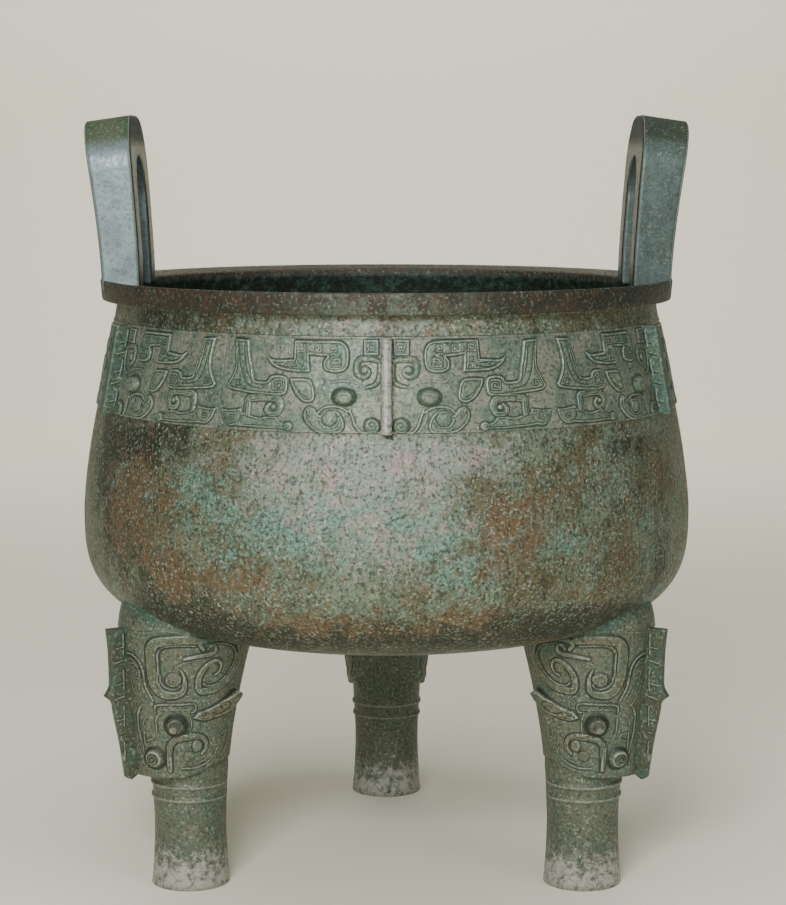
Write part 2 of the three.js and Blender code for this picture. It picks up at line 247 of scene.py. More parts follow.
class Relief:
    """Heights in mm at points that lie across and up on a surface."""

    def __init__(self, across, up):
        self.x = across
        self.y = up
        self.height = np.zeros(across.shape)
        # light and dark: paleness and darkness painted on, partly wear and patina, partly painted
        # highlight and shade
        self.light = np.zeros(across.shape)
        self.dark = np.zeros(across.shape)

    def near(self, line, margin):
        low = line.min(0) - margin
        high = line.max(0) + margin
        inside = (self.x > low[0]) & (self.x < high[0])
        return inside & (self.y > low[1]) & (self.y < high[1])

    def stroke_depth(self, line, halves):
        """How deep each point lies in a stroke of the half-widths given along its line."""
        line = np.asarray(line, float)
        halves = np.interp(
            np.linspace(0, 1, len(line)), np.linspace(0, 1, len(halves)), halves
        )
        spot = self.near(line, halves.max() + 1)
        px, py = self.x[spot], self.y[spot]
        depth = np.full(px.shape, -FAR)
        for i in range(len(line) - 1):
            t, gap = near_segment(px, py, line[i], line[i + 1])
            depth = np.maximum(depth, mix(halves[i], halves[i + 1], t) - gap)
        return spot, depth

    def area_depth(self, outline):
        """Distance from each point to a closed outline, above 0 inside it."""
        outline = np.asarray(outline, float)
        spot = self.near(outline, 2)
        px, py = self.x[spot], self.y[spot]
        gap = np.full(px.shape, FAR)
        inside = np.zeros(px.shape, bool)
        for i in range(len(outline)):
            (x0, y0), (x1, y1) = outline[i - 1], outline[i]
            gap = np.minimum(gap, near_segment(px, py, outline[i - 1], outline[i])[1])
            crosses = (y0 > py) != (y1 > py)
            if y1 != y0:
                inside ^= crosses & (px < x0 + (py - y0) * (x1 - x0) / (y1 - y0))
        return spot, np.where(inside, gap, -gap)

    def lift(self, spot, depth, height, edge):
        raised = height * smooth(-0.4, edge, depth)
        self.height[spot] = np.maximum(self.height[spot], raised)

    def area(self, outline, height=BAND_RELIEF, edge=1.5, groove=3.2):
        """Raises an outline, with a fine groove that follows its edge."""
        spot, depth = self.area_depth(curve(outline, closed=True))
        self.lift(spot, depth, height, edge)
        if groove:
            self.cut_at(spot, abs(depth - groove), 0.9, 1.3)

    def stroke(self, line, halves, height=2.0, edge=1.2, rim=0.0):
        """Raises a flat stroke, with fine grooves along its edges if a rim is given."""
        soft = curve(line) if len(line) < SMOOTH_COUNT else line
        spot, depth = self.stroke_depth(soft, halves)
        self.lift(spot, depth, height, edge)
        if rim:
            self.cut_at(spot, abs(depth - rim), 0.7, 1.0)

    def line(self, points, half=0.9, height=1.3):
        """A thin raised line painted pale: rubbed, and a painted highlight."""
        soft = curve(points) if len(points) < SMOOTH_COUNT else points
        spot, depth = self.stroke_depth(soft, [half])
        self.lift(spot, depth, height, 0.9)
        self.light[spot] = np.maximum(self.light[spot], 0.7 * smooth(-0.3, 0.7, depth))

    def cut_at(self, spot, gap, half, depth):
        self.height[spot] -= depth * (1 - smooth(0, half * 1.5, gap))

    def cut(self, line, half=0.8, depth=1.4):
        spot, inside = self.stroke_depth(line, [half * 1.5])
        self.height[spot] -= depth * smooth(0, half * 1.5, inside)

    def boss(self, x, y, across, up, height, steep=0.35):
        """A raised oval knob with steep sides and a domed top."""
        gap = np.hypot((self.x - x) / across, (self.y - y) / up)
        side = 1 - smooth(1 - steep, 1.06, gap)
        dome = np.sqrt(np.clip(1 - (gap * 0.95) ** 2, 0, 1))
        self.height = np.maximum(self.height, height * side * mix(0.7, 1, dome))

    def tint(self, x, y, across, up, light=0.0, dark=0.0):
        """Makes an oval paler or darker than the relief alone would: paler, as wear and painted
        highlight, on a boss's top, or darker, as patina and painted shade, round its steep sides.
        """
        share = 1 - smooth(0.8, 1.1, np.hypot((self.x - x) / across, (self.y - y) / up))
        self.light = mix(self.light, light, share)
        self.dark = mix(self.dark, dark, share)


# One half of a mask on the neck band. Across is the distance from the nose ridge, and
# the second number is the distance down from the band's top edge.

HORN = [
    (113, 5), (113, 5), (90, 5), (66, 5), (54, 7), (47, 15), (46, 29), (49, 39),
    (57, 43), (68, 43), (76, 39), (77, 30), (73, 24), (73, 24), (94, 22), (94, 22),
    (93, 34), (92, 43), (92, 43), (110, 43), (127, 41), (138, 35), (145, 24),
    (145, 24), (136, 29), (126, 29), (113, 28), (113, 28),
]
MASK_EAR = [
    (116, 51), (116, 51), (113, 61), (107, 71), (99, 78), (91, 79), (86, 74),
    (87, 63), (90, 55), (96, 51),
]
JAW = [
    (86, 86), (93, 84), (98, 91), (97, 100), (90, 109), (80, 115), (66, 117),
    (55, 115), (50, 108), (52, 98), (58, 91), (66, 88), (74, 89), (80, 94),
]
TRUNK = [
    (187, 6), (187, 6), (168, 7), (168, 7), (165, 22), (161, 38), (158, 52),
    (154, 56), (142, 56), (139, 51), (132, 48), (122, 49), (118, 54), (118, 66),
    (123, 72), (145, 72), (170, 70), (188, 67), (193, 62), (193, 62), (187, 52),
    (183, 40), (184, 24),
]
CLAW = [
    (198, 91), (198, 91), (186, 92), (171, 90), (171, 90), (168, 99), (172, 108),
    (184, 111), (193, 104),
]
SPUR = [
    (169, 94), (169, 94), (160, 97), (148, 100), (138, 98), (128, 98), (124, 103),
    (118, 106), (114, 112), (122, 112), (150, 112), (183, 110), (183, 110), (175, 102),
]


def squared(x, y, radius, turns=1.5, start=0.0, hand=1):
    """A spiral whose outer turn is drawn out towards a square."""
    line = spiral(x, y, radius, turns, start, hand)
    away = line - (x, y)
    angle = np.arctan2(away[:, 1], away[:, 0])
    corner = 1 + 0.16 * np.cos(4 * (angle - math.pi / 4))
    return away * corner[:, None] + (x, y)


def draw_forehead(relief):
    relief.area([(9, 4), (9, 4), (28, 4), (28, 4), (28, 23), (28, 23), (9, 23), (9, 23)], 2.4)
    relief.cut(squared(18, 14, 5.6, 1.6), 0.8)
    crest = [(9, 30), (20, 27), (33, 28), (37, 36), (35, 45), (27, 49), (21, 44), (24, 38)]
    relief.stroke(crest, [2.4, 3.4, 3.4, 3.2, 2.4, 1.6], 2.6, rim=1.5)
    relief.stroke([(8, 34), (8, 48), (13, 57), (24, 61)], [2.4, 2.8, 2.4, 1.4], 2.2)
    relief.boss(27, 40, 4.6, 4.6, 2.6)
    # the boss's top painted paler: wear and painted highlight
    relief.tint(27, 40, 4, 4, light=0.5)


def draw_horn(relief):
    relief.area(HORN)
    for across in (103, 84, 66):
        relief.cut(squared(across, 14, 6.6, 1.9, start=1.0), 0.8)
    relief.cut(squared(61.5, 31, 9.0, 2.1, start=-1.2), 0.85)
    relief.boss(58, 31, 2.4, 2.4, 3.8)
    relief.boss(66, 31, 2.4, 2.4, 3.8)
    relief.cut(squared(103, 28, 4.8, 1.5), 0.75)
    relief.cut(squared(101, 37.5, 4.0, 1.2), 0.7)
    relief.cut(curve([(108, 36), (118, 38), (128, 36), (136, 31)]), 0.8)
    relief.cut(curve([(112, 33), (122, 33.5), (124, 37)]), 0.7)


def draw_eye(relief):
    relief.line([(30, 60), (38, 55), (54, 53), (70, 55), (77, 49)], 0.9, 1.2)
    relief.cut(curve([(32, 56.5), (42, 51.5), (56, 50), (68, 51), (74, 46)]), 0.9, 1.5)
    relief.cut(curve([(34, 60), (46, 56.5), (60, 56), (70, 58.5)]), 0.8, 1.2)
    relief.line([(60, 62), (48, 60.5), (36, 63), (30, 70), (28, 80), (33, 88)], 0.7, 0.8)
    relief.boss(51, 72.5, 15.5, 11.5, 9.0, steep=0.45)
    # dark patina and painted shade round the eye's steep sides; wear and a painted highlight on its
    # top
    relief.tint(51, 72.5, 17, 13, dark=0.3)
    relief.tint(51, 72.5, 8.5, 5.6, light=0.45)
    relief.cut(curve([(45, 71), (52, 70.5), (58, 73)]), 0.9, 1.4)


def draw_muzzle(relief):
    relief.area(JAW, 3.0)
    spot, depth = relief.area_depth(spiral(68, 98, 8.8, 1.0, inner=1.0))
    relief.cut_at(spot, abs(depth + 0.6), 1.1, 2.0)
    relief.cut(curve([(78, 94), (81, 102), (74, 109), (62, 109), (56, 103)]), 0.8, 1.2)
    relief.boss(68, 98, 6.6, 6.6, 3.2)
    # the boss's top painted paler: wear and painted highlight
    relief.tint(68, 98, 6, 6, light=0.4)
    relief.boss(89.5, 91, 6.2, 6.2, 4.2)
    relief.cut(spiral(89.5, 91, 4.4, 1.4), 0.8)
    relief.line([(82, 92), (76, 86), (66, 84), (54, 86), (45, 91)], 1.0, 2.0)
    wing = [(44, 88), (40, 98), (37, 107), (31, 114), (22, 117)]
    relief.line(wing, 1.1, 2.2)
    relief.line([(48, 90), (47, 98), (43, 107), (38, 113)], 0.8, 1.4)
    relief.boss(17, 106, 10.5, 9.6, 4.2)
    # darker round the boss: patina and painted shade
    relief.tint(17, 106, 10, 9, dark=0.2)
    relief.cut(spiral(17, 106, 6.8, 1.3, start=0.6), 0.9)


def draw_side(relief):
    relief.area(TRUNK)
    relief.cut(curve([(181, 11), (178, 28), (174, 44), (166, 60), (150, 65)]), 0.8)
    relief.cut(curve([(173, 12), (171, 28), (167, 44), (160, 59)]), 0.8)
    relief.cut(squared(128.5, 60, 8.2, 2.2, start=-1.0), 0.85)
    relief.cut(squared(179, 60, 5.0, 1.5, hand=-1), 0.75)
    relief.cut(squared(147, 62, 3.6, 1.2), 0.7)
    hook = [
        (163, 97), (163, 84), (162, 78), (154, 76), (136, 75), (127, 78), (124, 86),
        (128, 94), (137, 94), (140, 88), (136, 83),
    ]
    relief.stroke(hook, [3.6, 4.2, 4.2, 4.2, 3.4, 2.6, 1.8], 3.0, rim=2.0)
    relief.boss(132, 86, 3.0, 3.0, 2.6)
    relief.area(SPUR, 2.8, groove=2.6)
    relief.boss(114, 108.5, 5.6, 5.6, 3.8)
    relief.area(CLAW, 3.0, groove=2.6)
    relief.cut(squared(182, 100, 4.6, 1.6), 0.8)


def band_relief(across, down):
    """Heights of a mask at signed distances across and down from the band's top."""
    relief = Relief(abs(across), down)
    cheek = np.hypot((relief.x - 56) / 62, (relief.y - 76) / 46)
    draw_forehead(relief)
    draw_horn(relief)
    relief.area(MASK_EAR)
    relief.cut(curve([(108, 60), (103, 68), (95, 73)]), 0.7)
    draw_muzzle(relief)
    draw_side(relief)
    draw_eye(relief)
    relief.height = relief.height + 2.2 * (1 - smooth(0.2, 1.0, cheek))
    return relief


# One half of the mask on a leg. Across is the arc from the fin, and up is the height
# above the ground.

LEG_EAR = [
    (90, 238), (90, 238), (106, 233), (130, 236), (151, 243), (172, 262), (172, 262),
    (160, 269), (144, 263), (128, 256), (112, 250), (98, 246),
]


def draw_leg_forehead(relief):
    border = [(12, 351), (35, 353), (60, 357), (85, 351), (108, 348), (135, 342), (165, 330)]
    relief.line(border, 0.9, 0.9)
    big = [
        (95, 344), (80, 345), (66, 344.5), (50, 342), (42, 333), (40.5, 316), (41, 295),
        (45, 280), (54, 271.5), (68, 270.5), (77, 275), (79.5, 286), (78, 297), (74, 305),
    ]
    relief.stroke(big, [5.4, 6, 6.4, 6.7, 6.7, 6.6, 6.2, 5.4, 4.4, 3.4, 2.2, 0.8], 2.4)
    inner = [
        (92, 336.5), (70, 337.5), (56, 335), (49.5, 327), (48.5, 312), (49, 296), (52, 285),
        (60, 279), (70, 279), (74.5, 284),
    ]
    relief.line(inner, 0.9, 2.9)
    relief.boss(65, 291, 9.6, 9.6, 1.4, steep=0.2)
    relief.line(spiral(65, 291, 9.4, 2.1, start=0.4, hand=-1, inner=0.12), 0.8, 2.4)
    outer = [
        (103, 331), (99, 339), (109, 345), (127, 346), (147, 340), (158, 328), (158, 313),
        (150, 294), (134, 281), (115, 275), (101, 275), (97, 284), (100, 298), (110, 310),
        (121, 315), (128, 309), (126, 299), (118, 294),
    ]
    relief.stroke(outer, [2.2, 3.6, 4.4, 5.0, 5.4, 5.4, 5.2, 4.8, 4.2, 3.4, 2.6, 1.8, 1.2], 2.4)
    rim = [
        (110, 337), (124, 338), (140, 333), (150, 322), (150, 310), (142, 296), (126, 284),
        (111, 281), (104, 285),
    ]
    relief.line(rim, 0.9, 2.9)
    relief.boss(118, 305, 7.4, 7.6, 1.8)
    # the boss's top painted paler: wear and painted highlight
    relief.tint(118, 305, 7, 7, light=0.35)
    bridge = [(80, 319), (96, 322), (112, 324), (119, 328), (118, 335), (112, 335), (109, 331)]
    relief.stroke(bridge, [2.2, 3.0, 3.0, 2.4, 1.6, 1.2], 2.2)
    relief.line([(72, 310), (84, 315), (104, 318)], 0.8, 1.2)


def draw_leg_brow(relief):
    relief.line([(6, 321), (16, 320), (25, 312), (29, 298), (31, 280), (39, 262)], 1.3, 1.8)
    relief.line([(6, 314), (15, 313), (22, 306)], 1.0, 1.4)
    relief.line([(8, 309), (17, 308), (23, 300), (22, 291), (15, 290), (13, 297), (17, 300)])
    relief.line([(9, 285), (13, 270), (22, 256)])
    relief.line([(21, 288), (22, 274), (30, 260)])
    relief.line([(41, 246), (40.5, 253), (47, 257), (70, 257.5), (92, 257), (93, 248), (88, 246)],
                1.0, 2.2)
    relief.line([(47, 250), (60, 250.5), (74, 250), (85, 250)], 0.8, 1.2)
    relief.line([(25, 256), (20, 250), (17, 240)], 0.9, 1.2)


def draw_leg_eye(relief):
    relief.line([(56, 210.5), (47, 208.5), (42.5, 213.5), (40.5, 229), (42, 240), (49, 246)])
    relief.line([(84, 244), (88, 232), (86, 216)])
    relief.boss(67, 229, 15.5, 15.5, 12.0, steep=0.55)
    # dark patina and painted shade round the eye's steep sides; wear and a painted highlight on its
    # top
    relief.tint(67, 229, 16, 16, dark=0.4)
    relief.boss(64.5, 224, 5.4, 5.4, 12.8, steep=0.2)
    relief.tint(64.5, 224, 4.8, 4.8, light=0.55)


def draw_leg_ear(relief):
    tip = smooth(120, 172, relief.x)
    spot, depth = relief.area_depth(curve(LEG_EAR, closed=True))
    raised = (3.8 + 10 * tip[spot]) * smooth(-0.4, 2.4, depth)
    relief.height[spot] = np.maximum(relief.height[spot], raised)
    relief.cut(spiral(106, 243, 5.0, 1.6), 0.9)
    relief.cut(curve([(118, 244), (130, 241), (146, 250), (141, 257), (130, 253), (134, 249)]), 0.8)
    relief.cut(curve([(104, 236), (122, 236.5), (140, 240), (158, 252)]), 0.8)
    relief.line([(96, 268), (104, 262), (106, 254), (100, 250)])


def draw_leg_muzzle(relief):
    relief.line([(19, 250), (15, 238), (16, 216), (20, 194), (24, 170)], 1.1, 1.6)
    relief.line([(29, 240), (23, 230), (23, 214), (24, 190)])
    relief.line([(24, 217), (33, 216), (35, 210), (26, 206)])
    relief.boss(36, 183.5, 14.6, 14.4, 8.6, steep=0.45)
    # darker round the boss: patina and painted shade
    relief.tint(36, 183.5, 15.5, 15, dark=0.22)
    relief.cut(spiral(35, 183, 9.6, 2.2, start=2.4), 0.9, 1.6)
    upper = [
        (56, 168), (56, 186), (57, 200), (65, 209), (82, 212.5), (98, 213), (110, 207),
        (112, 196), (104, 188),
    ]
    relief.stroke(upper, [3, 3.8, 4.2, 4.2, 4.0, 3.6, 3.0, 1.6], 2.6, rim=2.0)
    relief.boss(97, 200, 8.6, 8.8, 2.6)
    # the boss's top painted paler: wear and painted highlight
    relief.tint(97, 200, 8, 8, light=0.5)
    relief.boss(84, 186, 9, 7, 1.6)
    relief.line([(72, 170), (90, 169.5), (108, 173), (124, 182), (134, 196)], 1.0, 1.8)
    relief.line([(92, 176), (108, 179), (120, 188)], 0.8, 1.2)
    for across, up, radius in ((143, 212, 8), (133, 192, 7)):
        relief.line(spiral(across, up, radius, 1.3, start=1.0, inner=0.25))
    relief.line([(158, 218), (156, 200), (144, 182)], 1.0, 1.4)


def leg_relief(across, up):
    relief = Relief(abs(across), up)
    draw_leg_forehead(relief)
    draw_leg_brow(relief)
    draw_leg_ear(relief)
    draw_leg_muzzle(relief)
    draw_leg_eye(relief)
    return relief


def wear_of(height, relief):
    """Shares from 0 to 1: raised edges painted pale, as wear and painted highlight, and hollows
    painted dark, as green patina and painted shade.
    """
    change = height - blur(height, 2)
    fine = height - blur(height, 1)
    wear_and_highlight = np.clip(change / 1.3, 0, 1) * 0.6 + np.clip(fine / 0.5, 0, 1) * 0.5
    hollow_patina_and_shade = np.clip(-change / 1.0, 0, 1) * 0.7 + np.clip(-fine / 0.4, 0, 1) * 0.6
    wear_and_highlight = np.maximum(wear_and_highlight * (1 - relief.dark), relief.light)
    hollow_patina_and_shade = np.maximum(hollow_patina_and_shade * (1 - relief.light), relief.dark)
    return np.clip(wear_and_highlight, 0, 1), np.clip(hollow_patina_and_shade, 0, 1)


# Meshes


def make_mesh(name, points, faces, fields, material):
    """Makes a smooth closed piece of millimetre points about the bowl's axis."""
    points = np.asarray(points, float).reshape(-1, 3) + (0, AXIS_Y, 0)
    mesh = bpy.data.meshes.new(name)
    mesh.from_pydata((points * MM).tolist(), [], faces)
    mesh.validate()
    for field, values in fields.items():
        attribute = mesh.attributes.new(field, "FLOAT", "POINT")
        attribute.data.foreach_set("value", np.asarray(values, np.float32).ravel())
    mesh.polygons.foreach_set("use_smooth", [True] * len(mesh.polygons))
    mesh.materials.append(material)
    piece = bpy.data.objects.new(name, mesh)
    bpy.context.scene.collection.objects.link(piece)
    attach(piece, "root")
    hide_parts("vessel")
    return piece


def ring_faces(rings, around):
    """Faces between stacked closed rings, seen from outside when rings run upward."""
    faces = []
    for k in range(rings - 1):
        for i in range(around):
            a = k * around + i
            b = k * around + (i + 1) % around
            faces.append((a, b, b + around, a + around))
    return faces


def fan(ring, centre, outward):
    count = len(ring)
    pairs = [(ring[i], ring[(i + 1) % count]) for i in range(count)]
    return [(b, a, centre) if outward else (a, b, centre) for a, b in pairs]


def stack(name, rings, material, fields):
    """A closed skin over rings of points, capped at both ends by a middle point."""
    rings = np.asarray(rings, float)
    count, around = rings.shape[:2]
    points = rings.reshape(-1, 3).tolist()
    points += [rings[0].mean(0).tolist(), rings[-1].mean(0).tolist()]
    faces = ring_faces(count, around)
    first = count * around
    faces += fan(list(range(around)), first, True)
    last = [(count - 1) * around + i for i in range(around)]
    faces += fan(last, first + 1, False)
    values = {}
    for field, grid in fields.items():
        grid = np.asarray(grid, float)
        ends = [grid[0].mean(), grid[-1].mean()]
        values[field] = np.concatenate([grid.ravel(), ends])
    return make_mesh(name, points, faces, values, material)


# Bowl


def under_curve(count=400):
    """Outside of the bowl from the middle of its underside to its widest ring."""
    t = (np.linspace(0, 1, count) ** 2) * math.pi / 2
    radius = BELLY_RADIUS * np.sin(t) ** (2 / FLOOR_SQUARENESS)
    drop = BOWL_DEPTH * np.clip(np.cos(t), 0, 1) ** (2 / FLANK_SQUARENESS)
    return np.stack([radius, BELLY_HEIGHT - drop], 1)


def outside_curve():
    """Outside of the bowl from the underside's middle to the band's lower edge."""
    under = even_line(under_curve(), 74)
    t = np.linspace(0, 1, 20)[1:]
    shoulder = np.stack([
        BELLY_RADIUS - (BELLY_RADIUS - BAND_BOTTOM_RADIUS) * t**SHOULDER_BEND,
        mix(BELLY_HEIGHT, BAND_BOTTOM, t),
    ], 1)
    return np.concatenate([under, shoulder])


def neck_curve():
    """The wall behind the band, sunk a little, then the neck up to the lip."""
    sunk = BAND_SINK
    return np.array([
        (BAND_BOTTOM_RADIUS - 0.3, BAND_BOTTOM + 0.7),
        (BAND_BOTTOM_RADIUS - sunk, BAND_BOTTOM + 2.5),
        (mix(BAND_BOTTOM_RADIUS, BAND_TOP_RADIUS, 0.5) - sunk, mix(BAND_BOTTOM, BAND_TOP, 0.5)),
        (BAND_TOP_RADIUS - sunk, BAND_TOP - 2.5),
        (BAND_TOP_RADIUS - 0.2, BAND_TOP - 0.7),
        (BAND_TOP_RADIUS - 0.3, BAND_TOP + 1),
        (NECK_RADIUS + 2.2, BAND_TOP + 8),
        (NECK_RADIUS + 1.0, BAND_TOP + 15),
        (NECK_RADIUS + 0.6, RIM_HEIGHT - LIP_HEIGHT - 4.5),
        (NECK_RADIUS + 1.4, RIM_HEIGHT - LIP_HEIGHT - 1.2),
        (NECK_RADIUS + 4.5, RIM_HEIGHT - LIP_HEIGHT + 0.2),
    ])


def lip_curve():
    foot = RIM_HEIGHT - LIP_HEIGHT
    mouth = MOUTH_RADIUS - LIP_WIDTH
    return np.array([
        (LIP_FOOT_RADIUS - 8, foot),
        (LIP_FOOT_RADIUS - 2.5, foot + 0.2),
        (LIP_FOOT_RADIUS - 0.6, foot + 0.9),
        (LIP_FOOT_RADIUS, foot + 2.8),
        (mix(LIP_FOOT_RADIUS, MOUTH_RADIUS, 0.35), foot + 10),
        (mix(LIP_FOOT_RADIUS, MOUTH_RADIUS, 0.7), foot + 19),
        (MOUTH_RADIUS, RIM_HEIGHT - 3.2),
        (MOUTH_RADIUS - 0.7, RIM_HEIGHT - 1),
        (MOUTH_RADIUS - 2.6, RIM_HEIGHT - 0.3),
        (MOUTH_RADIUS - 12, RIM_HEIGHT - 2.2),
        (MOUTH_RADIUS - 24, RIM_HEIGHT - 4.4),
        (mouth + 2.5, RIM_HEIGHT - LIP_FALL),
        (mouth + 0.7, RIM_HEIGHT - LIP_FALL - 1),
        (mouth, RIM_HEIGHT - LIP_FALL - 3),
        (mouth + 0.6, RIM_HEIGHT - LIP_FALL - 12),
    ])


def inside_curve():
    """Inside of the bowl from the neck down to the middle of its floor."""
    upright = [(NECK_RADIUS, RIM_HEIGHT - LIP_HEIGHT), (BAND_TOP_RADIUS, BAND_TOP)]
    outer = np.concatenate([outside_curve(), upright[::-1]])
    slope = np.gradient(outer, axis=0)
    slope /= np.hypot(slope[:, 0], slope[:, 1])[:, None]
    inner = outer + WALL * np.stack([-slope[:, 1], slope[:, 0]], 1)
    inner[0] = (0, outer[0][1] + WALL)
    return even_line(inner[::-1], 52)


def bowl_grid(around):
    profile = np.concatenate([outside_curve(), neck_curve(), lip_curve(), inside_curve()])
    turn = np.linspace(0, 2 * math.pi, around, endpoint=False)
    radius = profile[1:-1, 0][:, None] * np.ones(around)
    height = profile[1:-1, 1][:, None] * np.ones(around)
    return turn[None, :] * np.ones((len(radius), 1)), radius, height, len(outside_curve())


def patches(azimuth, height, spots):
    """Soft marks on the bowl where the spots lie."""
    total = np.zeros(azimuth.shape)
    for degrees, z, wide, tall, strength in spots:
        apart = (azimuth - math.radians(degrees) + math.pi) % (2 * math.pi) - math.pi
        gap = np.hypot(apart * BELLY_RADIUS / wide, (height - z) / tall)
        total += strength * np.exp(-gap * gap)
    return total


# Each spot is degrees to the right of the front mask, height, half-width, half-height
# and strength.
TEAL_SPOTS = [
    (-36, 560, 60, 40, 0.8), (-30, 500, 50, 60, 0.8), (-20, 515, 45, 40, 0.8),
    (-12, 500, 60, 50, 0.9), (-2, 540, 60, 40, 0.6), (8, 500, 60, 60, 0.9),
    (14, 455, 50, 40, 0.6), (34, 490, 40, 50, 0.9), (54, 480, 50, 90, 0.6),
    (-72, 520, 30, 120, 0.6), (-62, 385, 60, 25, 1.0), (62, 385, 60, 25, 0.9),
    (76, 470, 40, 110, 0.6), (-22, 400, 60, 18, 0.6), (24, 560, 60, 30, 0.5),
    (150, 480, 90, 90, 0.7), (-140, 520, 80, 70, 0.7), (178, 560, 60, 50, 0.6),
    (110, 520, 70, 80, 0.6), (-108, 470, 70, 80, 0.6),
]
RUST_SPOTS = [
    (-50, 560, 60, 50, 0.9), (-40, 450, 70, 60, 1.0), (-56, 500, 50, 60, 0.9),
    (-26, 450, 60, 40, 0.7), (-14, 395, 90, 24, 1.0), (12, 400, 110, 24, 0.9),
    (22, 530, 60, 60, 0.8), (44, 440, 60, 60, 0.7), (-8, 580, 40, 30, 0.4),
    (58, 580, 50, 30, 0.6), (18, 470, 50, 50, 0.5), (130, 430, 90, 50, 0.8),
    (-160, 460, 80, 60, 0.8), (-118, 560, 60, 50, 0.8), (90, 580, 60, 40, 0.6),
]
# Partly dark patina, partly painted shade: dark flecks gathered on the underside, the flanks, the
# neck's left side and the lip's right side.
DARK_PATINA_AND_SHADE_SPOTS = [
    (-48, 606, 90, 30, 0.9), (-50, 450, 60, 50, 0.5), (-30, 375, 120, 24, 1.0),
    (8, 378, 200, 30, 1.0), (40, 385, 100, 26, 0.8), (-66, 590, 40, 50, 0.6),
    (60, 420, 60, 60, 0.6), (50, 600, 80, 30, 0.6), (160, 400, 200, 30, 0.7),
    (-60, 520, 60, 90, 0.6), (-40, 400, 90, 40, 0.7), (-50, 756, 120, 18, 0.6),
    (58, 792, 160, 18, 0.3), (-130, 400, 160, 30, 0.7),
]
# Painted highlight: pale flecks where the lamps' reflection falls on the belly, the neck and the
# lip's middle.
PAINTED_HIGHLIGHT_SPOTS = [
    (-6, 600, 170, 40, 1.0), (-12, 540, 130, 60, 0.8), (6, 500, 120, 60, 0.6),
    (10, 610, 100, 30, 0.5), (170, 580, 160, 60, 0.6), (-4, 755, 120, 20, 0.8),
    (2, 790, 130, 24, 0.5),
]


def bowl(material):
    around = 300
    turn, radius, height, outside = bowl_grid(around)
    azimuth = turn - FRONT
    place = round_axis(radius, turn, height)
    sag = 0.7 * noise(place, 95, 3) + 0.35 * noise(place, 34, 4)
    ring = np.arange(len(radius))[:, None] * np.ones(around)
    outer_wall = ring < outside
    radius = radius - np.where(outer_wall, sag, 0.25 * sag)
    place = round_axis(radius, turn, height)
    lip_first = outside + len(neck_curve()) - 2
    lip_last = lip_first + len(lip_curve())
    fields = {
        "teal": np.where(outer_wall, patches(azimuth, height, TEAL_SPOTS), 0.15),
        "rust": np.where(outer_wall, patches(azimuth, height, RUST_SPOTS), 0.1),
        # dark patina flecks, thickened as painted shade on the underside and flanks
        "dark": np.where(ring < lip_last, patches(azimuth, height, DARK_PATINA_AND_SHADE_SPOTS), 0.0),
        # painted highlight: where the belly, neck and lip are flecked pale
        "painted_highlight": patches(azimuth, height, PAINTED_HIGHLIGHT_SPOTS),
        "lip": ((ring >= lip_first) & (ring < lip_last)).astype(float),
        "inside": (ring >= lip_last).astype(float),
    }
    return stack("bowl", place, material, fields)


# Neck band


def half_spans(number):
    """Degrees from a mask's middle to its edge on the side before it and after it."""
    count = len(MASK_TURNS)
    before = (MASK_TURNS[number] - MASK_TURNS[number - 1]) % 360
    after = (MASK_TURNS[(number + 1) % count] - MASK_TURNS[number]) % 360
    return before / 2, after / 2


def mask_columns(number):
    """Where a mask's columns stand, and where each lies on the drawing of the mask."""
    mean_radius = (BAND_TOP_RADIUS + BAND_BOTTOM_RADIUS) / 2
    drawn = np.linspace(0, DRAWN_SPAN, 400)
    turns = []
    across = []
    for side, span in zip((-1, 1), half_spans(number)):
        spare = mean_radius * math.radians(span) - DRAWN_SPAN
        true = drawn + spare * smooth(FACE_SPAN, DRAWN_SPAN, drawn)
        away = np.linspace(0, true[-1], BAND_COLUMNS)
        if side < 0:
            away = away[:0:-1]
        turns.append(MASK_TURNS[number] + side * np.degrees(away / mean_radius))
        across.append(side * np.interp(away, true, drawn))
    return np.concatenate(turns), np.concatenate(across)


def band_height(turn, local, down, base):
    """Heights over the band's ground, and the relief that they come from."""
    ground = round_axis(base, turn, -down)
    drift_across = 1.8 * (noise(ground, 30, 11) - 0.5)
    drift_down = 1.8 * (noise(ground, 26, 12) - 0.5)
    fade = smooth(0, 8, DRAWN_SPAN - abs(local))
    relief = band_relief(local + drift_across * fade, down + drift_down)
    edge = smooth(0, 2.0, down) * smooth(0, 2.0, BAND_HEIGHT - down)
    border = 0.7 * bell(np.minimum(down, BAND_HEIGHT - down), 1.5, 1.1)
    worn = mix(0.62, 1.0, noise(ground, 48, 13))
    lumps = 0.4 * (noise(ground, 8, 14) - 0.5)
    return relief.height * edge * worn + border + lumps, relief


def band_arc(name, numbers, material):
    """A skin of relief over neighbouring masks, closed behind by a plain cone."""
    turns = []
    across = []
    for number in numbers:
        turn, local = mask_columns(number)
        skip = 1 if turns else 0
        turns.append(turn[skip:])
        across.append(local[skip:])
    turn = FRONT + np.radians(np.concatenate(turns))
    share = np.linspace(0, 1, BAND_ROWS)
    turn, grid_share = np.meshgrid(turn, share)
    local = np.concatenate(across) * np.ones((len(share), 1))
    base = mix(BAND_BOTTOM_RADIUS, BAND_TOP_RADIUS, grid_share)
    height, relief = band_height(turn, local, (1 - grid_share) * BAND_HEIGHT, base)
    wear_and_highlight, hollow_patina_and_shade = wear_of(height, relief)
    z = BAND_BOTTOM + grid_share * BAND_HEIGHT
    front = round_axis(base + height, turn, z)
    back = round_axis(base - BAND_SINK - 2, turn, z)[[0, -1]]
    fields = {"relief": height / BAND_RELIEF, "wear_and_highlight": wear_and_highlight, "hollow_patina_and_shade": hollow_patina_and_shade}
    return slab(name, front, back, fields, material)


